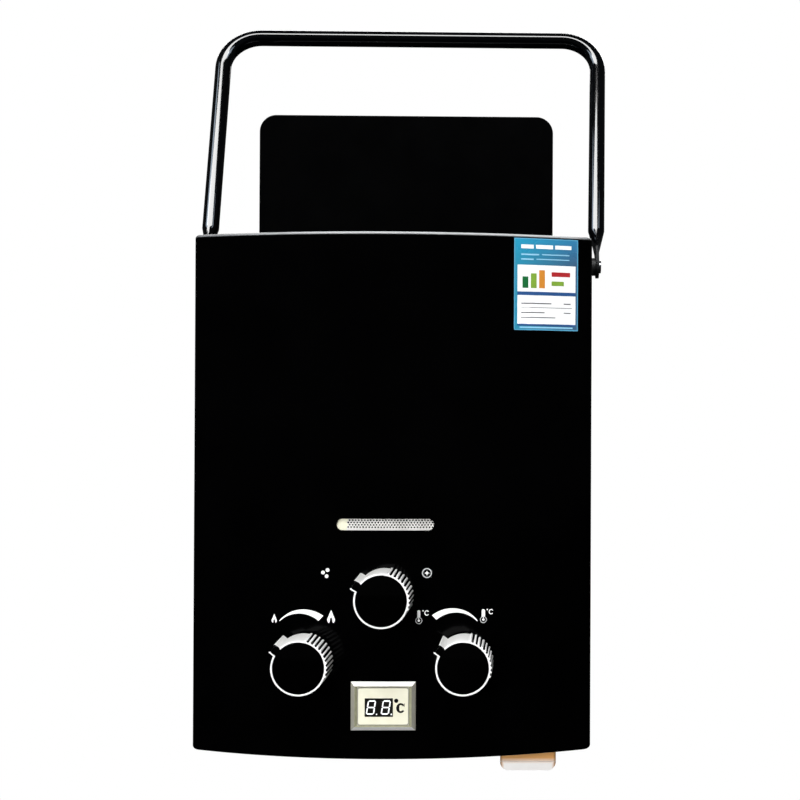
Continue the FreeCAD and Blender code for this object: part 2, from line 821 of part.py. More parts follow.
def ignition_electrodes():
    start = chamber_front_y + insulator_inside - insulator_length - electrode_tail
    reach = chamber_front_y + electrode_reach
    wires = []
    for x in electrode_places():
        points = [Vector(x, start, electrode_height), Vector(x, reach, electrode_height),
                  Vector(x, reach, electrode_height - electrode_tip_length)]
        wires.append(swept_rod(bent_path(points, 2 * electrode_radius), electrode_radius))
    return wires


def thermostat():
    start = chamber_front_y - thermostat_length
    body = rod(0, start, thermostat_height, y_axis, thermostat_radius, thermostat_length)
    flange = box_at(0, thermostat_height, 3 * thermostat_radius, thermostat_radius,
                    chamber_front_y - sheet, chamber_front_y)
    return body.fuse(flange)


# ------------------------------------------------------------------ valves

def spindle_socket(x, z, front_y):
    return rod(x, front_y, z, y_axis, plug_radius + running_gap, plug_length + 2 * fit_gap)


def spindle(x, z, front_y):
    plug = rod(x, front_y + fit_gap, z, y_axis, plug_radius, plug_length)
    start = knob_face_y + knob_cap_recess + knob_face_thickness
    return plug.fuse(rod(x, start, z, y_axis, spindle_radius, front_y + plug_length - start))


def gland(x, z, front_y):
    return ring(x, front_y - gland_length, z, y_axis, gland_radius, spindle_radius + running_gap,
                gland_length)


def valve_block(x):
    return box_at(x, lower_knob_height, valve_size, valve_size, valve_front_y, valve_back_y)


gas_chamber_left = gas_body_left + gas_left_wall
gas_chamber_right = gas_body_right - gas_seat_wall


def gas_valve_body():
    z = lower_knob_height
    chamber = rod(gas_chamber_left, linkage_y, z, x_axis, gas_chamber_radius,
                  gas_chamber_right - gas_chamber_left)
    seat = rod(gas_chamber_right, linkage_y, z, x_axis, gas_disc_radius - gas_seat_width, gas_seat_wall / 2)
    guide = rod(gas_chamber_right, linkage_y, z, x_axis, push_rod_radius + running_gap, 2 * gas_seat_wall)
    port = rod(fire_x, linkage_y, z, y_axis, gas_port_radius, valve_back_y - linkage_y)
    inlet = rod(fire_x, linkage_y, valve_bottom, z_axis, fitting_bore_radius, valve_size / 2)
    branch_y = manifold_front_y + manifold_size / 2
    top = z + valve_size / 2
    outlet = rod(fire_x, branch_y, z, z_axis, gas_riser_radius - manifold_wall, top - z)
    cuts = [chamber, seat, guide, port, inlet, outlet, spindle_socket(fire_x, z, valve_front_y)]
    return valve_block(fire_x).cut(cuts)


def gas_valve_disc():
    left = gas_chamber_right - fit_gap - gas_disc_thickness
    return rod(left, linkage_y, lower_knob_height, x_axis, gas_disc_radius, gas_disc_thickness)


def gas_valve_spring():
    """Coil spring between the chamber's end wall and the disc."""
    start = gas_chamber_left + seat_gap + spring_wire_radius
    end = gas_chamber_right - fit_gap - gas_disc_thickness - seat_gap - spring_wire_radius
    helix = Part.makeHelix((end - start) / spring_turns, end - start, spring_radius)
    section = Part.Wire([Part.makeCircle(spring_wire_radius, Vector(spring_radius, 0, 0), y_axis)])
    spring = Part.Wire(helix).makePipeShell([section], True, True)
    spring.rotate(Vector(0, 0, 0), y_axis, 90)
    spring.translate(Vector(start, linkage_y, lower_knob_height))
    return spring


def push_rod():
    """Rod from the diaphragm's plate to the gas disc, with the collar that works the switch."""
    z = lower_knob_height
    left = gas_chamber_right - fit_gap
    plate_right = water_body_left - diaphragm_thickness - fit_gap
    plate_left = plate_right - rod_plate_thickness
    shaft = rod(left, linkage_y, z, x_axis, push_rod_radius, plate_left - left + rod_plate_thickness / 2)
    plate = rod(plate_left, linkage_y, z, x_axis, rod_plate_radius, rod_plate_thickness)
    collar = rod(collar_left, linkage_y, z, x_axis, collar_radius, collar_thickness)
    return shaft.fuse([plate, collar])


def diaphragm():
    return rod(water_body_left - diaphragm_thickness, linkage_y, lower_knob_height, x_axis,
               diaphragm_radius, diaphragm_thickness)


def water_valve_cover():
    right = water_body_left - diaphragm_thickness
    left = right - valve_cover_thickness
    z = lower_knob_height
    body = rod(left, linkage_y, z, x_axis, valve_cover_radius, valve_cover_thickness)
    hollow = rod(right - valve_cover_bore_depth, linkage_y, z, x_axis, valve_cover_bore,
                 valve_cover_bore_depth)
    guide = rod(left, linkage_y, z, x_axis, push_rod_radius + running_gap, valve_cover_thickness)
    return body.cut([hollow, guide])


def water_valve_body():
    z = lower_knob_height
    chamber = rod(water_body_left, linkage_y, z, x_axis, water_chamber_radius, water_chamber_depth)
    inlet = rod(water_x, linkage_y, valve_bottom, z_axis, fitting_bore_radius, valve_size / 2)
    outlet_z = z + cold_outlet_height
    outlet = rod(water_x, cold_riser_y, outlet_z, x_axis, pipe_radius - pipe_wall, valve_size)
    pipe_socket = rod(water_body_right - pipe_socket_depth, cold_riser_y, outlet_z, x_axis,
                      pipe_radius + running_gap, valve_size)
    cuts = [chamber, inlet, outlet, pipe_socket, spindle_socket(water_x, z, valve_front_y)]
    return valve_block(water_x).cut(cuts)


def season_valve_body():
    body = box_at(control_centre_x, season_knob_height, season_valve_width, season_valve_height,
                  season_valve_front_y, manifold_front_y)
    return body.cut(spindle_socket(control_centre_x, season_knob_height, season_valve_front_y))


def microswitch():
    z0 = lower_knob_height + switch_rise
    case = box(gas_body_right, switch_left + switch_length, linkage_y - switch_width / 2,
               linkage_y + switch_width / 2, z0, z0 + switch_height)
    z = lower_knob_height + switch_plunger_rise
    bore_start = collar_left - fit_gap - switch_plunger_length - linkage_travel - fit_gap
    bore = rod(bore_start, linkage_y, z, x_axis, switch_plunger_radius + running_gap, switch_length)
    return case.cut(bore)


def microswitch_plunger():
    start = collar_left - fit_gap - switch_plunger_length
    return rod(start, linkage_y, lower_knob_height + switch_plunger_rise, x_axis,
               switch_plunger_radius, switch_plunger_length)


def solenoid_coil():
    z = lower_knob_height
    case = rod(fire_x, valve_back_y, z, y_axis, solenoid_radius, solenoid_length)
    bore = rod(fire_x, valve_back_y, z, y_axis, solenoid_plunger_radius + running_gap,
               solenoid_plunger_length + solenoid_stroke + 2 * fit_gap)
    return case.cut(bore)


def solenoid_plunger():
    return rod(fire_x, valve_back_y + fit_gap, lower_knob_height, y_axis, solenoid_plunger_radius,
               solenoid_plunger_length)


def igniter_box():
    body = box(igniter_left, igniter_left + igniter_width, -sheet - igniter_depth, -sheet,
               igniter_bottom, igniter_bottom + igniter_height)
    return body.makeFillet(igniter_edge_radius, [edge for edge in body.Edges if is_along(edge, 1)])


# ---------------------------------------------------------------- fittings

def fitting_places():
    return [(fire_x, linkage_y), (water_x, linkage_y), (hot_pipe_x, last_tube_y)]


def valve_fitting(x):
    """Nipple from a valve's underside down through the bottom panel, its lower end threaded."""
    thread = ring(x, linkage_y, fitting_end, z_axis, thread_radius, fitting_bore_radius, thread_length)
    body_start = fitting_end + thread_length
    body = ring(x, linkage_y, body_start, z_axis, fitting_body_radius, fitting_bore_radius,
                valve_bottom - body_start)
    collar = ring(x, linkage_y, bottom_panel_bottom + sheet + seat_gap, z_axis, fitting_collar_radius,
                  fitting_body_radius, fitting_collar_length)
    return thread.fuse([body, collar])


def hot_outlet():
    x, y = hot_pipe_x, last_tube_y
    neck_start = hot_fitting_top - hot_fitting_neck_length
    thread = rod(x, y, fitting_end, z_axis, thread_radius, thread_length)
    body_start = fitting_end + thread_length
    body = rod(x, y, body_start, z_axis, fitting_body_radius, neck_start - body_start)
    neck = rod(x, y, neck_start, z_axis, hot_fitting_neck_radius, hot_fitting_neck_length)
    collar = rod(x, y, bottom_panel_bottom + sheet + seat_gap, z_axis, fitting_collar_radius,
                 fitting_collar_length)
    bore = rod(x, y, fitting_end, z_axis, fitting_bore_radius, neck_start - fitting_end)
    throat = rod(x, y, neck_start, z_axis, pipe_radius - pipe_wall, hot_fitting_neck_length)
    return thread.fuse([body, neck, collar]).cut([bore, throat])


# ---------------------------------------------------------------- controls

def knob_places():
    return [(control_centre_x, season_knob_height), (fire_x, lower_knob_height),
            (water_x, lower_knob_height)]


def pointer(x, z, degrees, inner, width, reach, y0, y1):
    """Radial bar on the knob, from the inner radius out to the reach."""
    bar = box(x + inner, x + reach, y0, y1, z - width / 2, z + width / 2)
    bar.rotate(Vector(x, 0, z), y_axis, -degrees)
    return bar


def knob(x, z, degrees):
    outer = Part.makeCone(knob_face_radius, knob_base_radius, knob_length, Vector(x, knob_face_y, z),
                          y_axis)
    tab = pointer(x, z, degrees, knob_boss_radius, pointer_width, pointer_reach, knob_face_y,
                  knob_back_y)
    ribs = []
    for index in range(rib_count):
        step = (rib_last_degrees - rib_first_degrees) / (rib_count - 1)
        angle = math.radians(rib_first_degrees + index * step)
        ribs.append(rod(x + knob_face_radius * math.cos(angle), knob_face_y,
                        z + knob_face_radius * math.sin(angle), y_axis, rib_radius, knob_length))
    hollow = rod(x, knob_face_y + knob_cap_recess + knob_face_thickness, z, y_axis,
                 knob_face_radius - knob_wall, knob_length)
    boss = rod(x, knob_face_y + knob_cap_recess, z, y_axis, knob_boss_radius,
               knob_length - knob_cap_recess)
    socket = rod(x, knob_face_y + knob_cap_recess + knob_face_thickness, z, y_axis,
                 spindle_radius + running_gap, knob_length)
    recess = knob_cap_shape(x, z, degrees, seat_gap, knob_face_y, knob_face_y + knob_cap_recess)
    body = outer.fuse([tab] + ribs).cut(hollow).fuse(boss)
    return body.cut([socket, recess])


def knob_cap_shape(x, z, degrees, grow, y0, y1):
    disc = rod(x, y0, z, y_axis, knob_face_radius - knob_ring_width + grow, y1 - y0)
    tab = pointer(x, z, degrees, knob_boss_radius, pointer_width - 2 * pointer_rim + 2 * grow,
                  pointer_reach - pointer_rim + grow, y0, y1)
    return disc.fuse(tab).removeSplitter()


def knob_cap(x, z, degrees):
    back = knob_face_y + knob_cap_recess
    return knob_cap_shape(x, z, degrees, 0, back - knob_cap_thickness, back)


def window_mesh():
    half = window_width / 2 + mesh_margin
    rise = window_height / 2 + mesh_margin
    return bowed_sheet(control_centre_x - half, control_centre_x + half, window_z - rise,
                       window_z + rise, sheet + seat_gap, mesh_thickness)


# ----------------------------------------------------------------- display

bezel_front_y = apex_y - seat_gap - bezel_thickness
sleeve_end_y = apex_y + bezel_sleeve_length
display_panel_front_y = bezel_front_y + display_panel_recess


def display_bezel():
    frame = box_at(display_x, display_z, bezel_width, bezel_height, bezel_front_y, apex_y - seat_gap)
    sleeve = box_at(display_x, display_z, bezel_opening_width + 2 * bezel_sleeve_wall,
                    bezel_opening_height + 2 * bezel_sleeve_wall, bezel_front_y + sheet, sleeve_end_y)
    opening = box_at(display_x, display_z, bezel_opening_width, bezel_opening_height,
                     bezel_front_y - sheet, sleeve_end_y + sheet)
    return frame.fuse(sleeve).cut(opening)


def glass_pocket(grow, y0, y1):
    return box_at(display_x + display_glass_shift_x, display_z + display_glass_shift_z,
                  display_glass_width + 2 * grow, display_glass_height + 2 * grow, y0, y1)


def display_panel():
    front = display_panel_front_y
    panel = box_at(display_x, display_z, bezel_opening_width - 2 * seat_gap,
                   bezel_opening_height - 2 * seat_gap, front, front + display_panel_thickness)
    return panel.cut(glass_pocket(seat_gap, front, front + display_glass_sink + display_glass_thickness))


def display_glass():
    front = display_panel_front_y + display_glass_sink
    return glass_pocket(0, front, front + display_glass_thickness)


def display_board():
    board = box_at(display_x, display_z, bezel_opening_width + 2 * (bezel_sleeve_wall + board_margin),
                   bezel_opening_height + 2 * (bezel_sleeve_wall + board_margin), sleeve_end_y,
                   sleeve_end_y + board_thickness)
    block = box_at(display_x, display_z, led_block_width, led_block_height,
                   display_panel_front_y + display_panel_thickness, sleeve_end_y)
    return board.fuse(block)


# ----------------------------------------------------------------- battery

def battery_box_plan():
    half = cell_radius + cell_gap + box_wall
    depth = 4 * cell_radius + 3 * cell_gap + 2 * box_wall
    return battery_x - half, battery_x + half, battery_front_y, battery_front_y + depth


door_bottom = -half_height - box_rise_below
door_top = door_bottom + door_thickness
cell_bottom = door_top + fit_gap + contact_thickness + seat_gap
cell_top = cell_bottom + cell_length
box_ceiling = cell_top + seat_gap + contact_thickness


def battery_cell_places():
    first = battery_front_y + box_wall + cell_gap + cell_radius
    return [first, first + 2 * cell_radius + cell_gap]


def hinge_place():
    return battery_box_plan()[3] + hinge_offset, door_top + fit_gap


def battery_box():
    x0, x1, y0, y1 = battery_box_plan()
    bottom = door_top + fit_gap
    body = box(x0, x1, y0, y1, bottom, box_ceiling + box_wall)
    hollow = box(x0 + box_wall, x1 - box_wall, y0 + box_wall, y1 - box_wall, bottom, box_ceiling)
    flange_bottom = bottom_panel_bottom + sheet
    width = box_flange_width
    flange = box(x0 - width, x1 + width, y0 - width, y1 + width, flange_bottom,
                 flange_bottom + box_flange_thickness)
    hinge_y, hinge_z = hinge_place()
    lugs = []
    for side in (-1, 1):
        start = battery_x + side * (hinge_knuckle_width / 2 + fit_gap)
        barrel = rod(start, hinge_y, hinge_z, x_axis * side, hinge_knuckle_radius, hinge_lug_width)
        low = min(start, start + side * hinge_lug_width)
        web = box(low, low + hinge_lug_width, y1 - box_wall, hinge_y, hinge_z + fit_gap,
                  hinge_z + hinge_knuckle_radius)
        lugs += [barrel, web]
    pin = rod(battery_x - half_width, hinge_y, hinge_z, x_axis, hinge_pin_radius + running_gap,
              casing_width)
    return body.fuse([flange] + lugs).cut([hollow, pin])


def battery_door():
    x0, x1, y0, y1 = battery_box_plan()
    plate = box(x0, x1, y0, y1, door_bottom, door_top)
    lower = [edge for edge in plate.Edges if is_along(edge, 1) and edge.BoundBox.ZMax < door_bottom + sheet]
    plate = plate.makeFillet(door_edge_radius, lower)
    hinge_y, hinge_z = hinge_place()
    half = hinge_knuckle_width / 2
    knuckle = rod(battery_x - half, hinge_y, hinge_z, x_axis, hinge_knuckle_radius, hinge_knuckle_width)
    web = box(battery_x - half, battery_x + half, y1 - box_wall, hinge_y,
              hinge_z - hinge_knuckle_radius, door_top)
    room = box(battery_x - half - fit_gap - hinge_lug_width, battery_x + half + fit_gap + hinge_lug_width,
               y1 - fit_gap, y1, door_bottom, door_top)
    pin = rod(battery_x - half_width, hinge_y, hinge_z, x_axis, hinge_pin_radius + running_gap,
              casing_width)
    return plate.cut(room).fuse([web, knuckle]).cut(pin)


def battery_door_pin():
    hinge_y, hinge_z = hinge_place()
    half = hinge_knuckle_width / 2 + fit_gap + hinge_lug_width
    return rod(battery_x - half, hinge_y, hinge_z, x_axis, hinge_pin_radius, 2 * half)


def battery_cells():
    cells = []
    for index, y in enumerate(battery_cell_places()):
        can = rod(battery_x, y, cell_bottom, z_axis, cell_radius, cell_length - cell_cap_height)
        cap = rod(battery_x, y, cell_top - cell_cap_height, z_axis, cell_cap_radius, cell_cap_height)
        cell = can.fuse(cap)
        if index:
            cell.rotate(Vector(battery_x, y, (cell_bottom + cell_top) / 2), x_axis, 180)
        cells.append(cell)
    return cells


def battery_contacts():
    """Bridge strip on the door side and two plates under the box's ceiling."""
    x0, x1, y0, y1 = battery_box_plan()
    half = cell_radius / 2
    inner0, inner1 = y0 + box_wall, y1 - box_wall
    bridge_bottom = cell_bottom - seat_gap - contact_thickness
    bridge = box(x0 + box_wall, x1 - box_wall, inner0, inner1, bridge_bottom,
                 bridge_bottom + contact_thickness)
    plates = [box(battery_x - half, battery_x + half, y - half, y + half,
                  box_ceiling - contact_thickness, box_ceiling) for y in battery_cell_places()]
    return [bridge] + plates


def front_label():
    top = half_height - label_drop
    return bowed_sheet(label_x - label_width / 2, label_x + label_width / 2, top - label_height, top,
                       -seat_gap - label_thickness, label_thickness)


# ------------------------------------------------------------------ output

os.makedirs("parts", exist_ok=True)

save("rear_casing", rear_casing())
save("front_cover", front_cover())
save("top_panel", top_panel())
save("bottom_panel", bottom_panel())
save("heat_shield", heat_shield())
save("shield_screws", *shield_screws())
save("cover_screws", *cover_screws())
save("bail_handle", bail_handle())
save("bail_screws", *bail_screws())
save("bail_spacers", *bail_spacers())
save("flue_hood", flue_hood())
save("exchanger_shell", exchanger_shell())
save("exchanger_fins", *exchanger_fins())
save("exchanger_tubes", exchanger_tubes())
save("cold_pipe", cold_pipe())
save("hot_pipe", hot_pipe())
save("burner_frame", burner_frame())
save("burner_bars", *burner_bars())
save("gas_manifold", gas_manifold())
save("gas_injectors", *gas_injectors())
save("electrode_insulators", *electrode_insulators())
save("ignition_electrodes", *ignition_electrodes())
save("overheat_thermostat", thermostat())
save("gas_valve_body", gas_valve_body())
save("gas_valve_disc", gas_valve_disc())
save("gas_valve_spring", gas_valve_spring())
save("push_rod", push_rod())
save("diaphragm", diaphragm())
save("water_valve_cover", water_valve_cover())
save("water_valve_body", water_valve_body())
save("season_valve_body", season_valve_body())
save("spindle_gland_nuts", gland(control_centre_x, season_knob_height, season_valve_front_y),
     gland(fire_x, lower_knob_height, valve_front_y), gland(water_x, lower_knob_height, valve_front_y))
save("microswitch", microswitch())
save("microswitch_plunger", microswitch_plunger())
save("solenoid_coil", solenoid_coil())
save("solenoid_plunger", solenoid_plunger())
save("igniter_box", igniter_box())
save("gas_inlet", valve_fitting(fire_x))
save("water_inlet", valve_fitting(water_x))
save("hot_outlet", hot_outlet())
save("window_mesh", window_mesh())
save("display_bezel", display_bezel())
save("display_panel", display_panel())
save("display_glass", display_glass())
save("display_board", display_board())
save("battery_box", battery_box())
save("battery_door", battery_door())
save("battery_door_pin", battery_door_pin())
save("battery_cells", *battery_cells())
save("battery_contacts", *battery_contacts())
save("front_label", front_label())

controls = (("season", control_centre_x, season_knob_height, season_valve_front_y, season_pointer_degrees),
            ("fire", fire_x, lower_knob_height, valve_front_y, fire_pointer_degrees),
            ("water", water_x, lower_knob_height, valve_front_y, water_pointer_degrees))
for name, x, z, front_y, degrees in controls:
    save(name + "_spindle", spindle(x, z, front_y))
    save(name + "_knob", knob(x, z, degrees))
    save(name + "_knob_cap", knob_cap(x, z, degrees))
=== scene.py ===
import math
import bpy
import bmesh
from mathutils import Matrix, Vector


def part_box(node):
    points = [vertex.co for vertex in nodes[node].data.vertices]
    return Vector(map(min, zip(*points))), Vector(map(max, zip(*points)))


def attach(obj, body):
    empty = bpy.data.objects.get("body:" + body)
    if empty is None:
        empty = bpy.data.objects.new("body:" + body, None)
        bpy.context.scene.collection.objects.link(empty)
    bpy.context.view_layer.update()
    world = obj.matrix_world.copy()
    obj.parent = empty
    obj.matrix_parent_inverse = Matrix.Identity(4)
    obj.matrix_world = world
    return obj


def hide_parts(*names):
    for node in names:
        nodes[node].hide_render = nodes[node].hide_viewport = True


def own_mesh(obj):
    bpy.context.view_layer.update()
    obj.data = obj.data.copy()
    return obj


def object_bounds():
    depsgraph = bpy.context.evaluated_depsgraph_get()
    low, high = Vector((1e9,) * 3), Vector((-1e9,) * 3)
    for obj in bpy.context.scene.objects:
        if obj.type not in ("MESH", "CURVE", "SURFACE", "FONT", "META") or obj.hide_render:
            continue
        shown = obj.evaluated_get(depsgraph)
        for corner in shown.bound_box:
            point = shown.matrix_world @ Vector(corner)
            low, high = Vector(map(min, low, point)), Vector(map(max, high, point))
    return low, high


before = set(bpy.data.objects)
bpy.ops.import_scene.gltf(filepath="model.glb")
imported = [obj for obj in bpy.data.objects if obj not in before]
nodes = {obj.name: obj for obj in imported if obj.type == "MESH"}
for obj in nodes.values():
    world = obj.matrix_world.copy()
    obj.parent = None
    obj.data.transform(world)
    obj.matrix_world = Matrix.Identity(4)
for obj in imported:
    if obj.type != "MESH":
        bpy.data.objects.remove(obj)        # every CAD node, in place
cadLow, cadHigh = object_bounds()
mm = 0.001               # all sizes below are millimetres


# small tools for shapes

meshing = {"joinPoints": 0.002, "joinSlivers": 0.0005, "joinOutlines": 0.001, "bendStep": 4.0}


def nodeBox(name):
    low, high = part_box(name)
    return Vector(low) / mm, Vector(high) / mm


coverLow, coverHigh = nodeBox("front_cover")
frontBow = {"rise": 26.0}          # how far the middle of the front stands out past its edges
halfCover = (coverHigh.x - coverLow.x) / 2
bowRadius = (halfCover ** 2 + frontBow["rise"] ** 2) / (2 * frontBow["rise"])


def bowY(x):
    return coverLow.y + bowRadius - math.sqrt(bowRadius ** 2 - x ** 2)


def newShape():
    return {"points": [], "faces": [], "tones": []}


def addFaces(shape, points, faces, tone=0):
    first = len(shape["points"])
    shape["points"].extend(points)
    shape["faces"].extend([first + index for index in face] for face in faces)
    shape["tones"].extend([tone] * len(faces))


def loft(rings, tones=None, caps=True):
    # skins a row of closed rings that have the same number of points
    shape, count = newShape(), len(rings[0])
    tones = tones or [0] * len(rings)
    quads = [[i, (i + 1) % count, count + (i + 1) % count, count + i] for i in range(count)]
    for ring, following, tone in zip(rings, rings[1:], tones):
        addFaces(shape, ring + following, quads, tone)
    if caps:
        for end in (0, -1):
            addFaces(shape, rings[end], [list(range(count))], tones[end])
    return shape


def addPiece(name, shape, finishNames, body, replaced=(), smoothDegrees=32):
    bm = bmesh.new()
    verts = [bm.verts.new(Vector(point) * mm) for point in shape["points"]]
    for face, tone in zip(shape["faces"], shape["tones"]):
        made = bm.faces.new([verts[index] for index in face])
        made.material_index = tone
        made.smooth = True
    bmesh.ops.remove_doubles(bm, verts=bm.verts, dist=meshing["joinPoints"] * mm)
    bmesh.ops.dissolve_degenerate(bm, edges=bm.edges, dist=meshing["joinSlivers"] * mm)
    bmesh.ops.recalc_face_normals(bm, faces=bm.faces)
    mesh = bpy.data.meshes.new(name)
    bm.to_mesh(mesh)
    bm.free()
    mesh.set_sharp_from_angle(angle=math.radians(smoothDegrees))
    piece = bpy.data.objects.new(name, mesh)
    bpy.context.collection.objects.link(piece)
    for finishName in finishNames:
        mesh.materials.append(looks[finishName])
    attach(piece, body)
    if replaced:
        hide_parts(*replaced)
    return piece


def arcPoints(centreX, centreZ, radius, start, end, steps):
    turns = [math.radians(start + (end - start) * i / steps) for i in range(steps + 1)]
    return [(centreX + radius * math.cos(t), centreZ + radius * math.sin(t)) for t in turns]


def circlePoints(centreX, centreZ, radius, steps):
    return arcPoints(centreX, centreZ, radius, 0, 360, steps)[:-1]


def curvePoints(start, pull, end, steps):
    # quadratic curve from start to end, pulled towards the middle point
    points = []
    for i in range(steps + 1):
        t = i / steps
        points.append(tuple((1 - t) ** 2 * start[k] + 2 * t * (1 - t) * pull[k] + t * t * end[k]
                            for k in (0, 1)))
    return points


def stripFaces(outer, inner, closed=False):
    # four-sided faces between two outlines with the same number of points
    pairs = list(zip(outer, inner))
    if closed:
        pairs.append(pairs[0])
    return [[a[0], b[0], b[1], a[1]] for a, b in zip(pairs, pairs[1:])]


def boxFace(x0, x1, z0, z1):
    return [(x0, z0), (x1, z0), (x1, z1), (x0, z1)]


def letterFaces(left, top, letter, swell=0.7):
    # letter C, open to the right, with strokes that grow heavier towards its back
    centreX, centreZ = left + letter["width"] / 2, top - letter["height"] / 2
    opening, outer, inner = letter["openDegrees"], [], []
    for i in range(letter["steps"] + 1):
        turn = math.radians(opening + (360 - 2 * opening) * i / letter["steps"])
        c, s = math.cos(turn), math.sin(turn)
        weight = letter["light"] + (letter["heavy"] - letter["light"]) * max(0.0, -c) ** swell
        outer.append((centreX + letter["width"] / 2 * c, centreZ + letter["height"] / 2 * s))
        inner.append((centreX + (letter["width"] / 2 - weight) * c,
                      centreZ + (letter["height"] / 2 - letter["level"]) * s))
    return stripFaces(outer, inner)


def flatSheet(outlines, joinWithin):
    bm = bmesh.new()
    for outline in outlines:
        bm.faces.new([bm.verts.new((x, 0, z)) for x, z in outline])
    bmesh.ops.remove_doubles(bm, verts=bm.verts, dist=joinWithin)
    return bm


def thickenSheet(bm, depthAt, proud, sink):
    # closed plate that follows a front surface, from proud in front of it to sink behind it
    grown = bmesh.ops.extrude_face_region(bm, geom=bm.faces[:])
    backs = {item for item in grown["geom"] if isinstance(item, bmesh.types.BMVert)}
    for v in bm.verts:
        v.co.y = depthAt(v.co.x) + (sink if v in backs else -proud)
    bm.verts.index_update()
    bm.normal_update()
    return [v.co.copy() for v in bm.verts], [[v.index for v in face.verts] for face in bm.faces]


def frontPlate(name, groups, finishNames, depthAt, proud, sink, replaced=()):
    # thin plates on the casing, as one piece; groups is a list of (outlines, tone)
    shape, step = newShape(), meshing["bendStep"]
    for outlines, tone in groups:
        bm = flatSheet(outlines, meshing["joinOutlines"])
        bmesh.ops.triangulate(bm, faces=bm.faces)
        across = [v.co.x for v in bm.verts]
        cut = math.floor(min(across) / step) * step + step
        while cut < max(across):
            bmesh.ops.bisect_plane(bm, geom=bm.verts[:] + bm.edges[:] + bm.faces[:],
                                   plane_co=(cut, 0, 0), plane_no=(1, 0, 0))
            cut += step
        addFaces(shape, *thickenSheet(bm, depthAt, proud, sink), tone)
        bm.free()
    addPiece(name, shape, finishNames, "casing", replaced)


# small tools for materials; those that add a node give back its output

def addNode(tree, kind, links=(), **settings):
    # links is a list of (input, socket or value)
    node = tree.nodes.new("ShaderNode" + kind)
    for key, value in settings.items():
        setattr(node, key, value)
    for key, value in links:
        if isinstance(value, bpy.types.NodeSocket):
            tree.links.new(value, node.inputs[key])
        else:
            node.inputs[key].default_value = value
    return node.outputs


def objectPlace(tree):
    return addNode(tree, "TexCoord")["Object"]


def surfaceNormal(tree):
    return addNode(tree, "NewGeometry")["Normal"]


def alongAxis(tree, vector, axis):
    return addNode(tree, "SeparateXYZ", [(0, vector)])[axis]


def ranged(tree, value, fromMin=0.0, fromMax=1.0, toMin=0.0, toMax=1.0):
    return addNode(tree, "MapRange", [
        ("Value", value), ("From Min", fromMin), ("From Max", fromMax), ("To Min", toMin),
        ("To Max", toMax)])[0]


def combined(tree, operation, first, *others):
    for other in others:
        first = addNode(tree, "Math", [(0, first), (1, other)], operation=operation)[0]
    return first


def noise(tree, vector, scale, detail, distortion=0.0):
    return addNode(tree, "TexNoise", [
        ("Vector", vector), ("Scale", scale), ("Detail", detail), ("Distortion", distortion)])[0]


def mixColour(tree, factor, first, second):
    mix = tree.nodes.new("ShaderNodeMix")
    mix.data_type = "RGBA"
    colourInputs = [socket for socket in mix.inputs if socket.type == "RGBA"]
    for socket, value in zip(colourInputs, (first, second)):
        if isinstance(value, bpy.types.NodeSocket):
            tree.links.new(value, socket)
        else:
            socket.default_value = (*value, 1)
    tree.links.new(factor, mix.inputs[0])
    return [socket for socket in mix.outputs if socket.type == "RGBA"][0]


def objectRamp(tree, axis, start, end):
    # 0 at start and 1 at end, in millimetres along one axis of the object
    return ranged(tree, alongAxis(tree, objectPlace(tree), axis), start * mm, end * mm)


# shared effects, as node groups

def makeGroup(name, outputs, inputs):
    # an input is a number, or a vector where its value is a tuple
    group = bpy.data.node_groups.new(name, "ShaderNodeTree")
    for label, value in inputs.items():
        kind = "NodeSocketVector" if isinstance(value, tuple) else "NodeSocketFloat"
        group.interface.new_socket(name=label, in_out="INPUT", socket_type=kind).default_value = value
    for label in outputs:
        group.interface.new_socket(name=label, in_out="OUTPUT", socket_type="NodeSocketFloat")
    given = group.nodes.new("NodeGroupInput").outputs
    result = group.nodes.new("NodeGroupOutput").inputs
    return group, given, result


def makeFineGrain():
    # small bumps of paint, casting or moulding, and a slow change of tone
    group, given, result = makeGroup("fineGrain", ["Height", "Tone"], {
        "Scale": 600.0, "Stretch": (1, 1, 1), "Tone Scale": 20.0})
    stretched = addNode(group, "VectorMath", [(0, objectPlace(group)), (1, given["Stretch"])],
                        operation="MULTIPLY")[0]
    slow = noise(group, stretched, given["Tone Scale"], 4.0)
    group.links.new(noise(group, stretched, given["Scale"], 3.0), result["Height"])
    group.links.new(ranged(group, slow, 0.35, 0.65), result["Tone"])
    return group


def makeHandledGloss():
    # roughness that drifts a little, as on a surface that has been touched and wiped
    group, given, result = makeGroup("handledGloss", ["Roughness"], {
        "Scale": 30.0, "Low": 0.3, "High": 0.4})
    cloudy = noise(group, objectPlace(group), given["Scale"], 6.0, distortion=0.6)
    group.links.new(ranged(group, cloudy, 0.3, 0.7, given["Low"], given["High"]), result["Roughness"])
    return group


def makeEdgeRub():
    # a broken line of rubbing along the edges
    group, given, result = makeGroup("edgeRub", ["Mask"], {
        "Radius": 0.0006, "Amount": 0.3, "Scale": 260.0})
    rounded = addNode(group, "Bevel", [("Radius", given["Radius"])], samples=4)[0]
    same = addNode(group, "VectorMath", [(0, rounded), (1, surfaceNormal(group))],
                   operation="DOT_PRODUCT")["Value"]
    edge = ranged(group, same, 0.99, 0.86)
    broken = ranged(group, noise(group, objectPlace(group), given["Scale"], 5.0), 0.5, 0.62)
    group.links.new(combined(group, "MULTIPLY", edge, broken, given["Amount"]), result["Mask"])
    return group


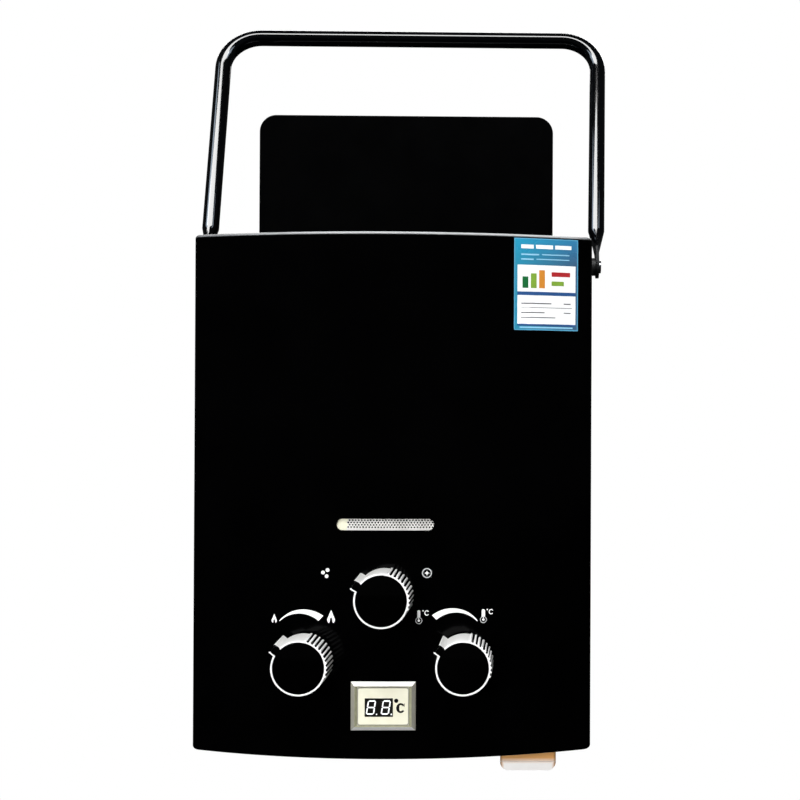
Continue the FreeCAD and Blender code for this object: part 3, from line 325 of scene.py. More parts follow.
def makeRestingDust():
    # thin dust on what faces up
    group, given, result = makeGroup("restingDust", ["Mask"], {"Amount": 0.1, "Scale": 120.0})
    upward = ranged(group, alongAxis(group, surfaceNormal(group), "Z"), 0.55, 1.0)
    specks = ranged(group, noise(group, objectPlace(group), given["Scale"], 8.0), 0.4, 0.75)
    group.links.new(combined(group, "MULTIPLY", upward, specks, given["Amount"]), result["Mask"])
    return group


effects = {"grain": makeFineGrain(), "gloss": makeHandledGloss(), "rub": makeEdgeRub(),
           "dust": makeRestingDust()}
print("shared effects made")


# finishes: colour and shade mix slowly, gloss is the lowest and highest roughness, grain is the scale
# and the height of its bumps; slot is the material slot of the CAD pieces that get this finish

enamel = {
    "colour": (0.0002, 0.0002, 0.00025), "shade": (0.0004, 0.0004, 0.00045), "gloss": (0.1, 0.15),
    "grain": (700.0, 0.003), "worn": (0.012, 0.012, 0.013), "rub": 0.2, "specular": 0.12}
ink = {"gloss": (0.5, 0.6), "grain": (2500.0, 0.004), "toneScale": 300.0}
finishes = {
    "blackEnamel": {**enamel, "slot": "black_enamel", "dust": 0.002},
    "coverEnamel": enamel,
    "shieldEnamel": {
        **enamel, "slot": "shield_enamel", "gloss": (0.16, 0.22), "grain": (1100.0, 0.004),
        "worn": (0.01, 0.01, 0.01), "dust": 0.002, "specular": 0.3},
    "bailEnamel": {
        "slot": "bail_enamel", "colour": (0.0003, 0.0004, 0.0006), "shade": (0.0006, 0.0008, 0.0012),
        "gloss": (0.05, 0.09), "grain": (260.0, 0.004), "worn": (0.02, 0.02, 0.022), "rub": 0.2,
        "coat": 1.0, "coatGloss": 0.04},
    "zincSteel": {
        "slot": "plated_steel", "colour": (0.55, 0.56, 0.58), "shade": (0.42, 0.42, 0.41),
        "gloss": (0.22, 0.38), "metal": 1.0, "grain": (500.0, 0.012), "toneScale": 90.0,
        "worn": (0.75, 0.75, 0.75), "rub": 0.5},
    "galvanisedSheet": {
        "slot": "galvanised", "colour": (0.5, 0.52, 0.54), "shade": (0.36, 0.38, 0.4),
        "gloss": (0.3, 0.5), "metal": 1.0, "grain": (120.0, 0.01), "toneScale": 130.0,
        "glossScale": 110.0},
    "drawnCopper": {
        "slot": "copper", "colour": (0.75, 0.36, 0.22), "shade": (0.5, 0.2, 0.11),
        "gloss": (0.2, 0.42), "metal": 1.0, "grain": (500.0, 0.008), "stretch": (1, 1, 0.1),
        "toneScale": 35.0},
    "machinedBrass": {
        "slot": "brass", "colour": (0.72, 0.52, 0.22), "shade": (0.55, 0.36, 0.13),
        "gloss": (0.2, 0.34), "metal": 1.0, "grain": (900.0, 0.01), "stretch": (0.2, 0.2, 3),
        "toneScale": 60.0, "worn": (0.85, 0.7, 0.4), "rub": 0.5},
    "castAlloy": {
        "slot": "die_cast", "colour": (0.52, 0.53, 0.54), "shade": (0.4, 0.41, 0.42),
        "gloss": (0.42, 0.6), "metal": 1.0, "grain": (1500.0, 0.06), "toneScale": 45.0,
        "worn": (0.7, 0.7, 0.7), "rub": 0.5},
    "brushedStainless": {
        "slot": "stainless", "colour": (0.66, 0.65, 0.63), "shade": (0.5, 0.49, 0.47),
        "gloss": (0.25, 0.36), "metal": 1.0, "grain": (2400.0, 0.008), "stretch": (0.04, 1, 1),
        "toneScale": 700.0},
    "windowSteel": {
        "colour": (0.8, 0.79, 0.76), "shade": (0.66, 0.65, 0.62), "gloss": (0.35, 0.5),
        "metal": 0.2, "grain": (1800.0, 0.006), "toneScale": 120.0},
    "silverSkin": {
        "slot": "silver_plastic", "colour": (0.88, 0.88, 0.865), "shade": (0.8, 0.8, 0.78),
        "gloss": (0.32, 0.42), "metal": 0.3, "grain": (1800.0, 0.01), "stretch": (1, 0.12, 1),
        "toneScale": 60.0, "worn": (0.9, 0.9, 0.9), "rub": 0.5},
    # darker silver: painted shade on the bezel's left and right slopes, and the line round the display plate
    "silverShadeAndPlateLine": {
        "colour": (0.4, 0.39, 0.33), "shade": (0.34, 0.33, 0.28), "gloss": (0.3, 0.4),
        "metal": 0.3, "grain": (1800.0, 0.008), "toneScale": 60.0},
    # white ring at the front of the knobs, also a painted highlight on the upper ribs
    "whiteRimAndRibHighlight": {
        "colour": (0.95, 0.95, 0.95), "shade": (0.88, 0.88, 0.88), "gloss": (0.2, 0.3),
        "grain": (1800.0, 0.003), "toneScale": 60.0},
    # black plastic, also painted shade in the gaps between knob ribs and on the sheet behind the flame
    # window
    "blackPlasticAndShade": {
        "slot": "black_plastic", "colour": (0.0002, 0.0002, 0.0002),
        "shade": (0.0004, 0.0004, 0.0004), "gloss": (0.08, 0.13), "grain": (600.0, 0.003),
        "worn": (0.02, 0.02, 0.02), "rub": 0.15, "specular": 0.3},
    "nylonSpacer": {
        "slot": "spacer_plastic", "colour": (0.01, 0.01, 0.01), "shade": (0.016, 0.016, 0.016),
        "gloss": (0.45, 0.6), "grain": (1400.0, 0.02)},
    "batteryPlastic": {
        "slot": "white_plastic", "colour": (0.97, 0.95, 0.93), "shade": (0.93, 0.91, 0.89),
        "gloss": (0.3, 0.42), "grain": (1300.0, 0.01), "toneScale": 60.0, "specular": 0.15},
    "creamPlate": {
        "slot": "cream_plastic", "colour": (0.79, 0.775, 0.625), "shade": (0.74, 0.725, 0.57),
        "gloss": (0.42, 0.55), "grain": (1500.0, 0.01), "toneScale": 90.0},
    "digitWindow": {
        "slot": "digit_window", "colour": (0.004, 0.004, 0.003), "shade": (0.014, 0.014, 0.012),
        "gloss": (0.12, 0.2), "grain": (900.0, 0.003), "toneScale": 160.0},
    "litDigits": {         # they glow a little, so that they stay white in the shade of the bezel
        "colour": (0.95, 0.96, 0.97), "shade": (0.86, 0.88, 0.9), "gloss": (0.3, 0.4),
        "grain": (1500.0, 0.004), "toneScale": 400.0, "glow": 0.2, "glowColour": (0.9, 0.95, 1, 1)},
    "greenBoard": {
        "slot": "circuit_board", "colour": (0.01, 0.12, 0.04), "shade": (0.008, 0.09, 0.03),
        "gloss": (0.25, 0.35), "grain": (900.0, 0.01), "toneScale": 200.0},
    "greyMoulding": {
        "slot": "grey_plastic", "colour": (0.09, 0.09, 0.095), "shade": (0.07, 0.07, 0.074),
        "gloss": (0.45, 0.58), "grain": (1300.0, 0.03), "worn": (0.2, 0.2, 0.2), "rub": 0.3},
    "softRubber": {
        "slot": "rubber", "colour": (0.018, 0.018, 0.018), "shade": (0.028, 0.027, 0.026),
        "gloss": (0.6, 0.75), "grain": (900.0, 0.03)},
    "glazedCeramic": {
        "slot": "ceramic", "colour": (0.86, 0.83, 0.76), "shade": (0.78, 0.74, 0.66),
        "gloss": (0.12, 0.2), "grain": (400.0, 0.01), "toneScale": 150.0},
    "cellJacket": {
        "slot": "cell_jacket", "colour": (0.03, 0.13, 0.06), "shade": (0.02, 0.1, 0.045),
        "gloss": (0.18, 0.26), "grain": (700.0, 0.006), "metal": 0.4},
    "labelFilm": {
        "slot": "label_paper", "colour": (0.02, 0.3, 0.48), "shade": (0.022, 0.245, 0.38),
        "gloss": (0.25, 0.33), "grain": (1500.0, 0.003), "toneScale": 200.0},
    # olive painted shade on the bezel's inner wall, inner slope and crest
    "oliveSlopeShade": {**ink, "colour": (0.3, 0.3, 0.2), "shade": (0.24, 0.24, 0.16), "gloss": (0.4, 0.5)},
    "whiteInk": {**ink, "colour": (0.95, 0.95, 0.95), "shade": (0.88, 0.88, 0.88)},
    "greyInk": {**ink, "colour": (0.52, 0.53, 0.54), "shade": (0.44, 0.45, 0.46)},
    # dark ink, also painted shade on the walls of the flame window's holes
    "darkInkAndHoleShade": {
        **ink, "colour": (0.002, 0.002, 0.002), "shade": (0.005, 0.005, 0.005),
        "gloss": (0.4, 0.5), "specular": 0.1}}

labelColours = {
    "labelPaper": (0.93, 0.94, 0.95), "labelGreen": (0.008, 0.13, 0.035),
    "labelLime": (0.2, 0.36, 0.04), "labelOrange": (0.62, 0.24, 0.03), "labelRed": (0.4, 0.02, 0.025),
    "labelNavy": (0.02, 0.08, 0.24), "labelPale": (0.3, 0.6, 0.8), "labelGrey": (0.1, 0.1, 0.11),
    "labelEdge": (0.1, 0.36, 0.56)}
for tintName, tint in labelColours.items():
    finishes[tintName] = {
        "colour": tint, "shade": tuple(channel * 0.93 for channel in tint), "gloss": (0.28, 0.36),
        "grain": (1500.0, 0.003), "toneScale": 250.0}

dustColour = (0.42, 0.4, 0.37)
plainSockets = {          # input of the shader, its name in a finish, and the usual value
    "Metallic": ("metal", 0.0), "Coat Weight": ("coat", 0.0), "Coat Roughness": ("coatGloss", 0.05),
    "Specular IOR Level": ("specular", 0.5), "Emission Color": ("glowColour", (1, 1, 1, 1)),
    "Emission Strength": ("glow", 0.0)}


def placeEffect(tree, effect, values):
    node = tree.nodes.new("ShaderNodeGroup")
    node.node_tree = effects[effect]
    for key, value in values.items():
        node.inputs[key].default_value = value
    return node.outputs


def makeFinish(name, values):
    material = bpy.data.materials.new(name)
    material.use_nodes = True
    tree = material.node_tree
    shader = tree.nodes["Principled BSDF"].inputs
    grainScale, grainHeight = values["grain"]
    grain = placeEffect(tree, "grain", {
        "Scale": grainScale, "Stretch": values.get("stretch", (1, 1, 1)),
        "Tone Scale": values.get("toneScale", 20.0)})
    colour = mixColour(tree, grain["Tone"], values["colour"], values["shade"])
    if "worn" in values:
        rub = placeEffect(tree, "rub", {"Amount": values["rub"]})
        colour = mixColour(tree, rub["Mask"], colour, values["worn"])
    if "dust" in values:
        dust = placeEffect(tree, "dust", {"Amount": values["dust"]})
        colour = mixColour(tree, dust["Mask"], colour, dustColour)
    tree.links.new(colour, shader["Base Color"])
    lowest, highest = values["gloss"]
    gloss = placeEffect(tree, "gloss", {
        "Low": lowest, "High": highest, "Scale": values.get("glossScale", 30.0)})
    tree.links.new(gloss["Roughness"], shader["Roughness"])
    bump = addNode(tree, "Bump", [
        ("Height", grain["Height"]), ("Distance", grainHeight * mm), ("Strength", 1.0)])
    tree.links.new(bump[0], shader["Normal"])
    for label, (key, usual) in plainSockets.items():
        shader[label].default_value = values.get(key, usual)
    return material


looks = {name: makeFinish(name, values) for name, values in finishes.items()}


def openFinish(name):
    tree = looks[name].node_tree
    return tree, tree.nodes["Principled BSDF"].inputs


labelFade = {"rightColour": (0.032, 0.19, 0.38), "rightShade": (0.045, 0.1, 0.19), "depth": 18.0}


def fadeLabel():
    # blue that is greener at the left and deeper at the right, and darkens down the label's head
    low, high = nodeBox("front_label")
    tree, shader = openFinish("labelFilm")
    plain = finishes["labelFilm"]
    across = objectRamp(tree, "X", low.x, high.x)
    down = objectRamp(tree, "Z", high.z, high.z - labelFade["depth"])
    left = mixColour(tree, down, plain["colour"], plain["shade"])
    right = mixColour(tree, down, labelFade["rightColour"], labelFade["rightShade"])
    tree.links.new(mixColour(tree, across, left, right), shader["Base Color"])


# painted shade on the white battery box: where the warm shade starts and ends, its colour, and the darker
# shade at its side edges
batteryShade = {
    "shadeFrom": 4.6, "shadeTo": 9.2, "shadeSide": 3.2, "warmShadeColour": (0.7, 0.36, 0.125),
    "edgeWidth": 2.0, "edgeShadeColour": (0.2, 0.1, 0.04), "frontFacing": -0.6}


def paintBatteryShade():
    # painted warm shade on its front, where it goes up behind the cover and along its sides, and darker
    # painted shade at its side edges
    low, high = nodeBox("battery_door")
    b = batteryShade
    tree, shader = openFinish("batteryPlastic")
    shadedColour = shader["Base Color"].links[0].from_socket
    front = ranged(tree, alongAxis(tree, surfaceNormal(tree), "Y"), 0.0, b["frontFacing"])

    def sideRamps(width):
        return [objectRamp(tree, "X", low.x + width, low.x), objectRamp(tree, "X", high.x - width, high.x)]

    rising = objectRamp(tree, "Z", low.z + b["shadeFrom"], low.z + b["shadeTo"])
    shadeMask = combined(tree, "MAXIMUM", rising, *sideRamps(b["shadeSide"]))
    shadedColour = mixColour(tree, combined(tree, "MULTIPLY", shadeMask, front), shadedColour, b["warmShadeColour"])
    for side in sideRamps(b["edgeWidth"]):
        shadedColour = mixColour(tree, combined(tree, "MULTIPLY", side, front), shadedColour, b["edgeShadeColour"])
    tree.links.new(shadedColour, shader["Base Color"])


earRub = {"glossyFrom": 19.0, "dullTo": 12.0, "roughness": 0.65}


def dullEars():
    # the bail's paint is rubbed dull where its ears turn on the screws
    low, high = nodeBox("bail_spacers")
    pivotZ = (low.z + high.z) / 2
    tree, shader = openFinish("bailEnamel")
    glossy = shader["Roughness"].links[0].from_socket
    ear = objectRamp(tree, "Z", pivotZ + earRub["glossyFrom"], pivotZ + earRub["dullTo"])
    rough = combined(tree, "MAXIMUM", glossy, ranged(tree, ear, toMax=earRub["roughness"]))
    tree.links.new(rough, shader["Roughness"])
    tree.links.new(ranged(tree, ear, toMin=1.0, toMax=0.0), shader["Coat Weight"])


# painted highlight on the cover's top rim: where it shows along its height and bend, how it fades along the
# rim, and its colour
rimHighlight = {
    "from": 2.2, "to": 1.0, "bendFrom": 0.99, "bendTo": 0.93, "fullX": -40.0, "rightFade": 20.0,
    "atEnds": 0.35, "colour": (0.42, 0.43, 0.44)}


def paintRimHighlight():
    # a painted highlight along the turned-in top rim, faint at its ends
    r = rimHighlight
    tree, shader = openFinish("coverEnamel")
    plain = shader["Base Color"].links[0].from_socket
    facing = addNode(tree, "TexCoord")["Normal"]
    rises = [objectRamp(tree, "X", coverLow.x, r["fullX"]),
             objectRamp(tree, "X", coverHigh.x, coverHigh.x - r["rightFade"])]
    highlightMask = combined(
        tree, "MULTIPLY", objectRamp(tree, "Z", coverHigh.z - r["from"], coverHigh.z - r["to"]),
        ranged(tree, alongAxis(tree, facing, "Z"), r["bendFrom"], r["bendTo"]),
        *[ranged(tree, rise, toMin=r["atEnds"]) for rise in rises])
    tree.links.new(mixColour(tree, highlightMask, plain, r["colour"]), shader["Base Color"])


fadeLabel()
paintBatteryShade()
dullEars()
paintRimHighlight()

softEdges = {"bail_handle": 0.9, "heat_shield": 0.25, "battery_box": 0.5, "rear_casing": 0.3,
             "igniter_box": 0.2, "microswitch": 0.3, "display_board": 0.1}
edgeRounding = {"weld": 0.004, "segments": 2, "overDegrees": 40}


def dressNodes():
    # the CAD pieces get their finish by slot; flat-sided ones also get rounded edges
    finishOfSlot = {values["slot"]: name for name, values in finishes.items() if "slot" in values}
    for node in nodes.values():
        for place in node.material_slots:
            place.material = looks[finishOfSlot[place.material.name.split(".")[0]]]
    nodes["front_cover"].material_slots[0].material = looks["coverEnamel"]
    for name, width in softEdges.items():
        weld = nodes[name].modifiers.new("joinSplitPoints", "WELD")
        weld.merge_threshold = edgeRounding["weld"] * mm
        bevel = nodes[name].modifiers.new("softEdges", "BEVEL")
        bevel.width = width * mm
        bevel.segments = edgeRounding["segments"]
        bevel.limit_method = "ANGLE"
        bevel.angle_limit = math.radians(edgeRounding["overDegrees"])
        bevel.harden_normals = True


dressNodes()
print("CAD pieces dressed")


# knobs

knobShape = {
    "faceRadius": 19.1, "baseRadius": 19.8, "wall": 2.2, "ringWidth": 1.25, "edge": 0.35,
    "recess": 1.2, "faceThickness": 3.0, "steps": 360,
    # round the front edge: how far in, how far back, and how high the ribs are, as shares
    "frontEdge": [(1.0, 0.0, 0.5), (0.3, 0.3, 0.9), (0.0, 1.0, 1.0)], "backRibs": 0.5,
    "capGap": 0.1, "capEdge": [(0.2, 0.0), (0.06, 0.06), (0.0, 0.2)],      # depth and inset
    "pointerHalf": 3.6, "pointerReach": 23.0, "pointerFlare": 2.3, "pointerRim": 0.9, "corner": 0.5,
    "hollowHalf": 0.6, "hollowReach": 0.02,
    "ribHeight": 0.9, "ribHalfDegrees": 2.6, "ribFirst": 75.0, "ribLast": -16.7, "ribCount": 11,
    # where a rib's swell is below this share its face is painted black as painted shade; from this angle up
    # the ribs are painted white as a painted highlight
    "ribGapShade": 0.5, "ribHighlightFrom": 16.0,
    "pointerDegrees": {"season": 150.0, "fire": 142.6, "water": 143.5}}


def ribSwell(degrees):
    step = (knobShape["ribLast"] - knobShape["ribFirst"]) / (knobShape["ribCount"] - 1)
    nearest = min(abs(degrees - knobShape["ribFirst"] - step * i) for i in range(knobShape["ribCount"]))
    share = nearest / knobShape["ribHalfDegrees"]
    return math.sqrt(1 - share * share) if share < 1 else 0.0


def wrapped(degrees):
    return (degrees + 90) % 360 - 90      # from -90, so that the ribs are in one range


def knobRing(centre, y, pointerDegrees, radius, pointerHalf, pointerReach, ribHeight=0.0, flare=0.0):
    # circle with the pointer bar standing out of it, always with the same number of points
    corner = min(knobShape["corner"], pointerHalf / 2)
    opening = math.degrees(math.asin(min(1.0, pointerHalf / radius)))
    half = pointerHalf + flare
    root = math.degrees(math.asin(min(1.0, half / radius)))
    along, across = math.radians(pointerDegrees), math.radians(pointerDegrees + 90)

    def onBar(u, v):
        return (u * math.cos(along) + v * math.cos(across), u * math.sin(along) + v * math.sin(across))

    points = []
    for i in range(knobShape["steps"] + 1):
        away = opening + (360 - 2 * opening) * i / knobShape["steps"]
        gap = min(away, 360 - away)
        if flare and gap < root:
            foot = radius * math.cos(math.radians(root))
            u = foot + (pointerReach - 2 * corner - foot) * (root - gap) / (root - opening)
            points.append(onBar(u, half if away < 180 else -half))
            continue
        turn = pointerDegrees + away
        reach = radius + ribHeight * ribSwell(wrapped(turn))
        points.append((reach * math.cos(math.radians(turn)), reach * math.sin(math.radians(turn))))
    for u, v in ((pointerReach - corner, -half), (pointerReach, corner - half),
                 (pointerReach, half - corner), (pointerReach - corner, half)):
        points.append(onBar(u, v))
    return [Vector((centre.x + x, y, centre.z + z)) for x, z in points]


def makeKnob(name):
    spindleLow, spindleHigh = nodeBox(name + "_spindle")
    low, high = nodeBox(name + "_knob")
    k = knobShape
    turn, steps, ribHeight, flare = k["pointerDegrees"][name], k["steps"], k["ribHeight"], k["pointerFlare"]
    front, back = low.y, high.y
    floor = front + k["recess"]

    def ring(y, radius, half, reach, ribs=0.0, widening=0.0):
        return knobRing((spindleLow + spindleHigh) / 2, y, turn, radius, half, reach, ribs, widening)

    faceR, baseR, half, reach = k["faceRadius"], k["baseRadius"], k["pointerHalf"], k["pointerReach"]
    edge, rim, hollowR = k["edge"], k["pointerRim"], faceR - k["wall"]
    inner = (faceR - k["ringWidth"], half - rim, reach - rim)
    # the opening at the back is round, so its pointer shrinks away
    hollow = (hollowR, k["hollowHalf"], hollowR + k["hollowReach"])
    rings = [ring(floor, *inner), ring(front + edge / 2, *inner)]
    rings.append(ring(front, *[size + edge / 2 for size in inner]))
    for inset, depth, ribs in k["frontEdge"]:
        cut = edge * inset
        rings.append(ring(front + edge * depth, faceR - cut, half - cut, reach - cut, ribHeight * ribs))
    rings += [
        ring(back - edge, baseR, half, reach, ribHeight, flare),
        ring(back, baseR - edge, half - edge, reach - edge, ribHeight * k["backRibs"], flare),
        ring(back, *hollow), ring(floor + k["faceThickness"], *hollow)]
    silver, bright, black = 0, 1, 2
    shape = loft(rings, [silver] + [bright] * 4 + [silver] * 5)
    count, sides = len(rings[0]), (4, 5)        # sides are the levels of the outer wall
    opening = math.degrees(math.asin(half / faceR))
    # ribs above the highlight angle get the white finish as a painted highlight, those further right stay
    # silver, and the gaps between ribs are painted black as painted shade
    for i in range(steps):
        degrees = wrapped(turn + opening + (360 - 2 * opening) * (i + 0.5) / steps)
        if k["ribLast"] - k["ribHalfDegrees"] < degrees < k["ribFirst"] + k["ribHalfDegrees"]:
            ribTone = silver if degrees < k["ribHighlightFrom"] else bright
            for level in sides:
                shape["tones"][level * count + i] = black if ribSwell(degrees) < k["ribGapShade"] else ribTone
    # the pointer is black on its face and at its end
    for level in range(4):
        for i in range(steps, steps + 3):
            shape["tones"][level * count + i] = black
    for level in sides:
        shape["tones"][level * count + steps + 2] = black
    addPiece(name + "_knob_body", shape, ["silverSkin", "whiteRimAndRibHighlight", "blackPlasticAndShade"], name + "_control",
             [name + "_knob"])
    capLow, capHigh = nodeBox(name + "_knob_cap")
    levels = [(capHigh.y, 0.0)] + [(capLow.y + depth, inset) for depth, inset in k["capEdge"]]
    capRings = [ring(y, *[size - k["capGap"] - inset for size in inner]) for y, inset in levels]
    addPiece(name + "_knob_face", loft(capRings), ["blackPlasticAndShade"], name + "_control",
             [name + "_knob_cap"])


for knobName in ("season", "fire", "water"):
    makeKnob(knobName)
print("knobs made")


# marks printed on the front

frontMarks = {
    "proud": 0.1, "sink": 0.25,
    "wedges": [
        {"outer": (-60.55, -102.96, 22.44), "inner": (-63.32, -105.37, 21.0),
         "thin": ((-78.61, -90.01), (-77.94, -90.28)), "thick": ((-46.38, -85.72), (-49.96, -89.47))},
        {"outer": (45.39, -101.04, 21.82), "inner": (47.26, -104.03, 20.85),
         "thin": ((63.53, -89.13), (62.54, -89.53)), "thick": ((30.65, -84.96), (33.9, -88.25))}],
    "wedgeSteps": 24, "wedgeTip": 0.5, "wedgeWaist": 0.2,
    "flames": [{"x": -81.94, "top": -85.15, "height": 6.3, "half": 1.95, "notch": 2.4},
               {"x": -40.68, "top": -81.37, "height": 9.2, "half": 2.8, "notch": 3.9}],
    "thermometers": [{"x": 21.4, "top": -81.2, "width": 2.1, "bulb": -88.62},
                     {"x": 66.9, "top": -81.23, "width": 2.5, "bulb": -88.66}],
    # the stem's foot, the dot in the bulb and the top of its line are shares of the bulb
    "bulbRadius": 2.4, "bulbLine": 0.45, "stemFoot": 0.9, "bulbDot": 0.36, "lineTop": 0.8,
    "lineHalf": 0.25,
    "celsius": [(25.28, -81.37), (70.66, -81.28)], "degree": (-0.95, -0.3), "degreeRadius": 0.55,
    "letter": {"width": 3.5, "height": 3.8, "light": 0.66, "heavy": 0.66, "level": 0.66,
               "openDegrees": 37, "steps": 22},
    "dots": [(-46.6, -54.96), (-43.39, -53.22), (-44.05, -57.56)], "dotRadius": 1.35,
    "sun": (27.0, -55.0), "sunRadius": 3.5, "sunLine": 0.75, "starRadius": 1.9, "starWaist": 0.75}

# right half of a flame, from its tip: pull, end and steps of each curve. Across is a share of the
# half width, and up from the foot are shares of the height and of the notch
flameCurves = [((0.42, 0.7, 0), (1, 0.28, 0), 7), ((1, 0.1, 0), (0.62, 0, 0), 5),
               ((0.42, 0, 0), (0.36, 0, 0.2), 3), ((0.34, 0, 1), (0, 0, 1), 4)]


def wedgeFaces(wedge):
    # bent wedge between two arcs, which narrows to its thin end
    steps = frontMarks["wedgeSteps"]
    sides = []
    for which, end in (("outer", 0), ("inner", 1)):
        cx, cz, radius = wedge[which]
        turns = [math.degrees(math.atan2(wedge[tip][end][1] - cz, wedge[tip][end][0] - cx))
                 for tip in ("thin", "thick")]
        sides.append(arcPoints(cx, cz, radius, *turns, steps))
    outer, inner = sides
    for i, (x, z) in enumerate(outer):
        t = i / steps
        pull = frontMarks["wedgeTip"] * (1 - t) ** 3 + frontMarks["wedgeWaist"] * math.sin(math.pi * t)
        outer[i] = (x + (inner[i][0] - x) * pull, z + (inner[i][1] - z) * pull)
    return stripFaces(outer, inner)


def flameFace(flame):
    x, foot = flame["x"], flame["top"] - flame["height"]

    def place(across, up, notched):
        return (x + flame["half"] * across, foot + flame["height"] * up + flame["notch"] * notched)

    right = [place(0, 1, 0)]
    for pull, end, steps in flameCurves:
        right += curvePoints(right[-1], place(*pull), place(*end), steps)[1:]
    return right + [(2 * x - px, pz) for px, pz in reversed(right[1:-1])]


def ringFaces(x, z, radius, line, steps=28):
    return stripFaces(circlePoints(x, z, radius, steps), circlePoints(x, z, radius - line, steps), True)


def stemFace(x, top, width, bottom):
    half = width / 2
    return arcPoints(x, top - half, half, 0, 180, 10) + [(x - half, bottom), (x + half, bottom)]


def starFace(x, z, radius, waist, rays=4):
    turns = [math.pi * i / rays for i in range(2 * rays)]
    return [(x + reach * math.cos(turn), z + reach * math.sin(turn))
            for turn, reach in zip(turns, [radius, waist] * rays)]


def makeFrontMarks():
    m = frontMarks
    white = [wedgeFaces(wedge) for wedge in m["wedges"]] + [[flameFace(flame)] for flame in m["flames"]]
    grey = []
    for meter in m["thermometers"]:
        x, bulb, radius = meter["x"], meter["bulb"], m["bulbRadius"]
        grey.append(ringFaces(x, bulb, radius, m["bulbLine"]))
        white += [[stemFace(x, meter["top"], meter["width"], bulb + radius * m["stemFoot"])],
                  [circlePoints(x, bulb, radius * m["bulbDot"], 16)],
                  [boxFace(x - m["lineHalf"], x + m["lineHalf"], bulb, bulb + radius * m["lineTop"])]]
    for left, top in m["celsius"]:
        right, up = m["degree"]
        white += [letterFaces(left, top, m["letter"]),
                  [circlePoints(left + right, top + up, m["degreeRadius"], 12)]]
    white += [[circlePoints(*place, m["dotRadius"], 20)] for place in m["dots"]]
    white.append([starFace(*m["sun"], m["starRadius"], m["starWaist"])])
    grey.append(ringFaces(*m["sun"], m["sunRadius"], m["sunLine"]))
    groups = [(faces, 0) for faces in white] + [(faces, 1) for faces in grey]
    frontPlate("printed_marks", groups, ["whiteInk", "greyInk"], bowY, m["proud"], m["sink"])


makeFrontMarks()
print("front marks printed")


# flame window

windowSheet = {
    "pitch": 2.13, "row": 1.62, "hole": 0.62, "rows": 4, "plainEnd": 7.2, "thickness": 0.8,
    "margin": 6.0, "openingWidth": 69.0, "openingHeight": 8.2, "lip": 1.4, "rim": 0.5,
    "joinWithin": 0.01, "shadeSheetInset": 3.0, "shadeSheetGap": 0.15, "shadeSheetThickness": 0.3}


def makeWindowSheet():
    # staggered round holes in a bowed sheet, plain at its left end, with the walls of the holes painted dark
    # as painted shade, and a thin black sheet behind it as painted shade behind the holes
    w = windowSheet
    low, high = nodeBox("window_mesh")
    pitch, height = w["pitch"], w["row"]
    firstHoleX = (low.x + high.x) / 2 - w["openingWidth"] / 2 + w["plainEnd"]
    columns = int((high.x - w["margin"] / 2 - firstHoleX) / pitch)
    bottom = (low.z + high.z) / 2 - w["openingHeight"] / 2 + w["lip"]
    outlines = []
    for row in range(w["rows"]):
        z0 = bottom + row * height
        z1, zm = z0 + height, z0 + height / 2
        left = firstHoleX + (row % 2) * pitch / 2
        for column in range(columns):
            x0 = left + column * pitch
            x1, xm = x0 + pitch, x0 + pitch / 2
            outer = [(x1, zm), (x1, z1), (xm, z1), (x0, z1), (x0, zm), (x0, z0), (xm, z0), (x1, z0)]
            outlines += stripFaces(outer, circlePoints(xm, zm, w["hole"], len(outer)), True)
        for x0, x1 in ((low.x, left), (left + columns * pitch, high.x)):
            outlines.append([(x0, z0), (x1, z0), (x1, zm), (x1, z1), (x0, z1), (x0, zm)])
    marks = [low.x] + [firstHoleX + i * pitch / 2 for i in range(2 * columns + 2)] + [high.x]
    for z0, z1 in ((low.z, bottom), (bottom + w["rows"] * height, high.z)):
        outlines += [boxFace(x0, x1, z0, z1) for x0, x1 in zip(marks, marks[1:])]
    inset = low.y - coverLow.y
    shape = newShape()
    bm = flatSheet(outlines, w["joinWithin"])
    shape["points"], shape["faces"] = thickenSheet(bm, lambda x: bowY(x) + inset, 0, w["thickness"])
    for face in bm.faces:
        middle = face.calc_center_median()
        wall = abs(face.normal.y) < 0.5 and low.z + w["rim"] < middle.z < high.z - w["rim"]
        # the walls of the holes are painted dark as painted shade
        shape["tones"].append(2 if wall else 1 if middle.x < firstHoleX else 0)
    bm.free()
    addPiece("window_sheet", shape, ["windowSteel", "creamPlate", "darkInkAndHoleShade"], "casing",
             ["window_mesh"])
    # thin black sheet behind the holes: painted shade
    back = w["shadeSheetInset"]
    frontPlate("window_shade_sheet", [([boxFace(low.x + back, high.x - back, low.z + back, high.z - back)], 0)],
               ["blackPlasticAndShade"], lambda x: bowY(x) + inset + w["thickness"] + w["shadeSheetGap"],
               0, w["shadeSheetThickness"])


makeWindowSheet()
print("flame window made")


# display

bezelShape = {"crestIn": 2.75, "crestWidth": 0.3, "outerDrop": 1.7, "innerDrop": 1.0, "edge": 0.25,
              "gap": 0.1, "sleeve": 2.4}


def rectangleRing(low, high, y, inset):
    corners = boxFace(low.x + inset, high.x - inset, low.z + inset, high.z - inset)
    return [Vector((x, y, z)) for x, z in corners]


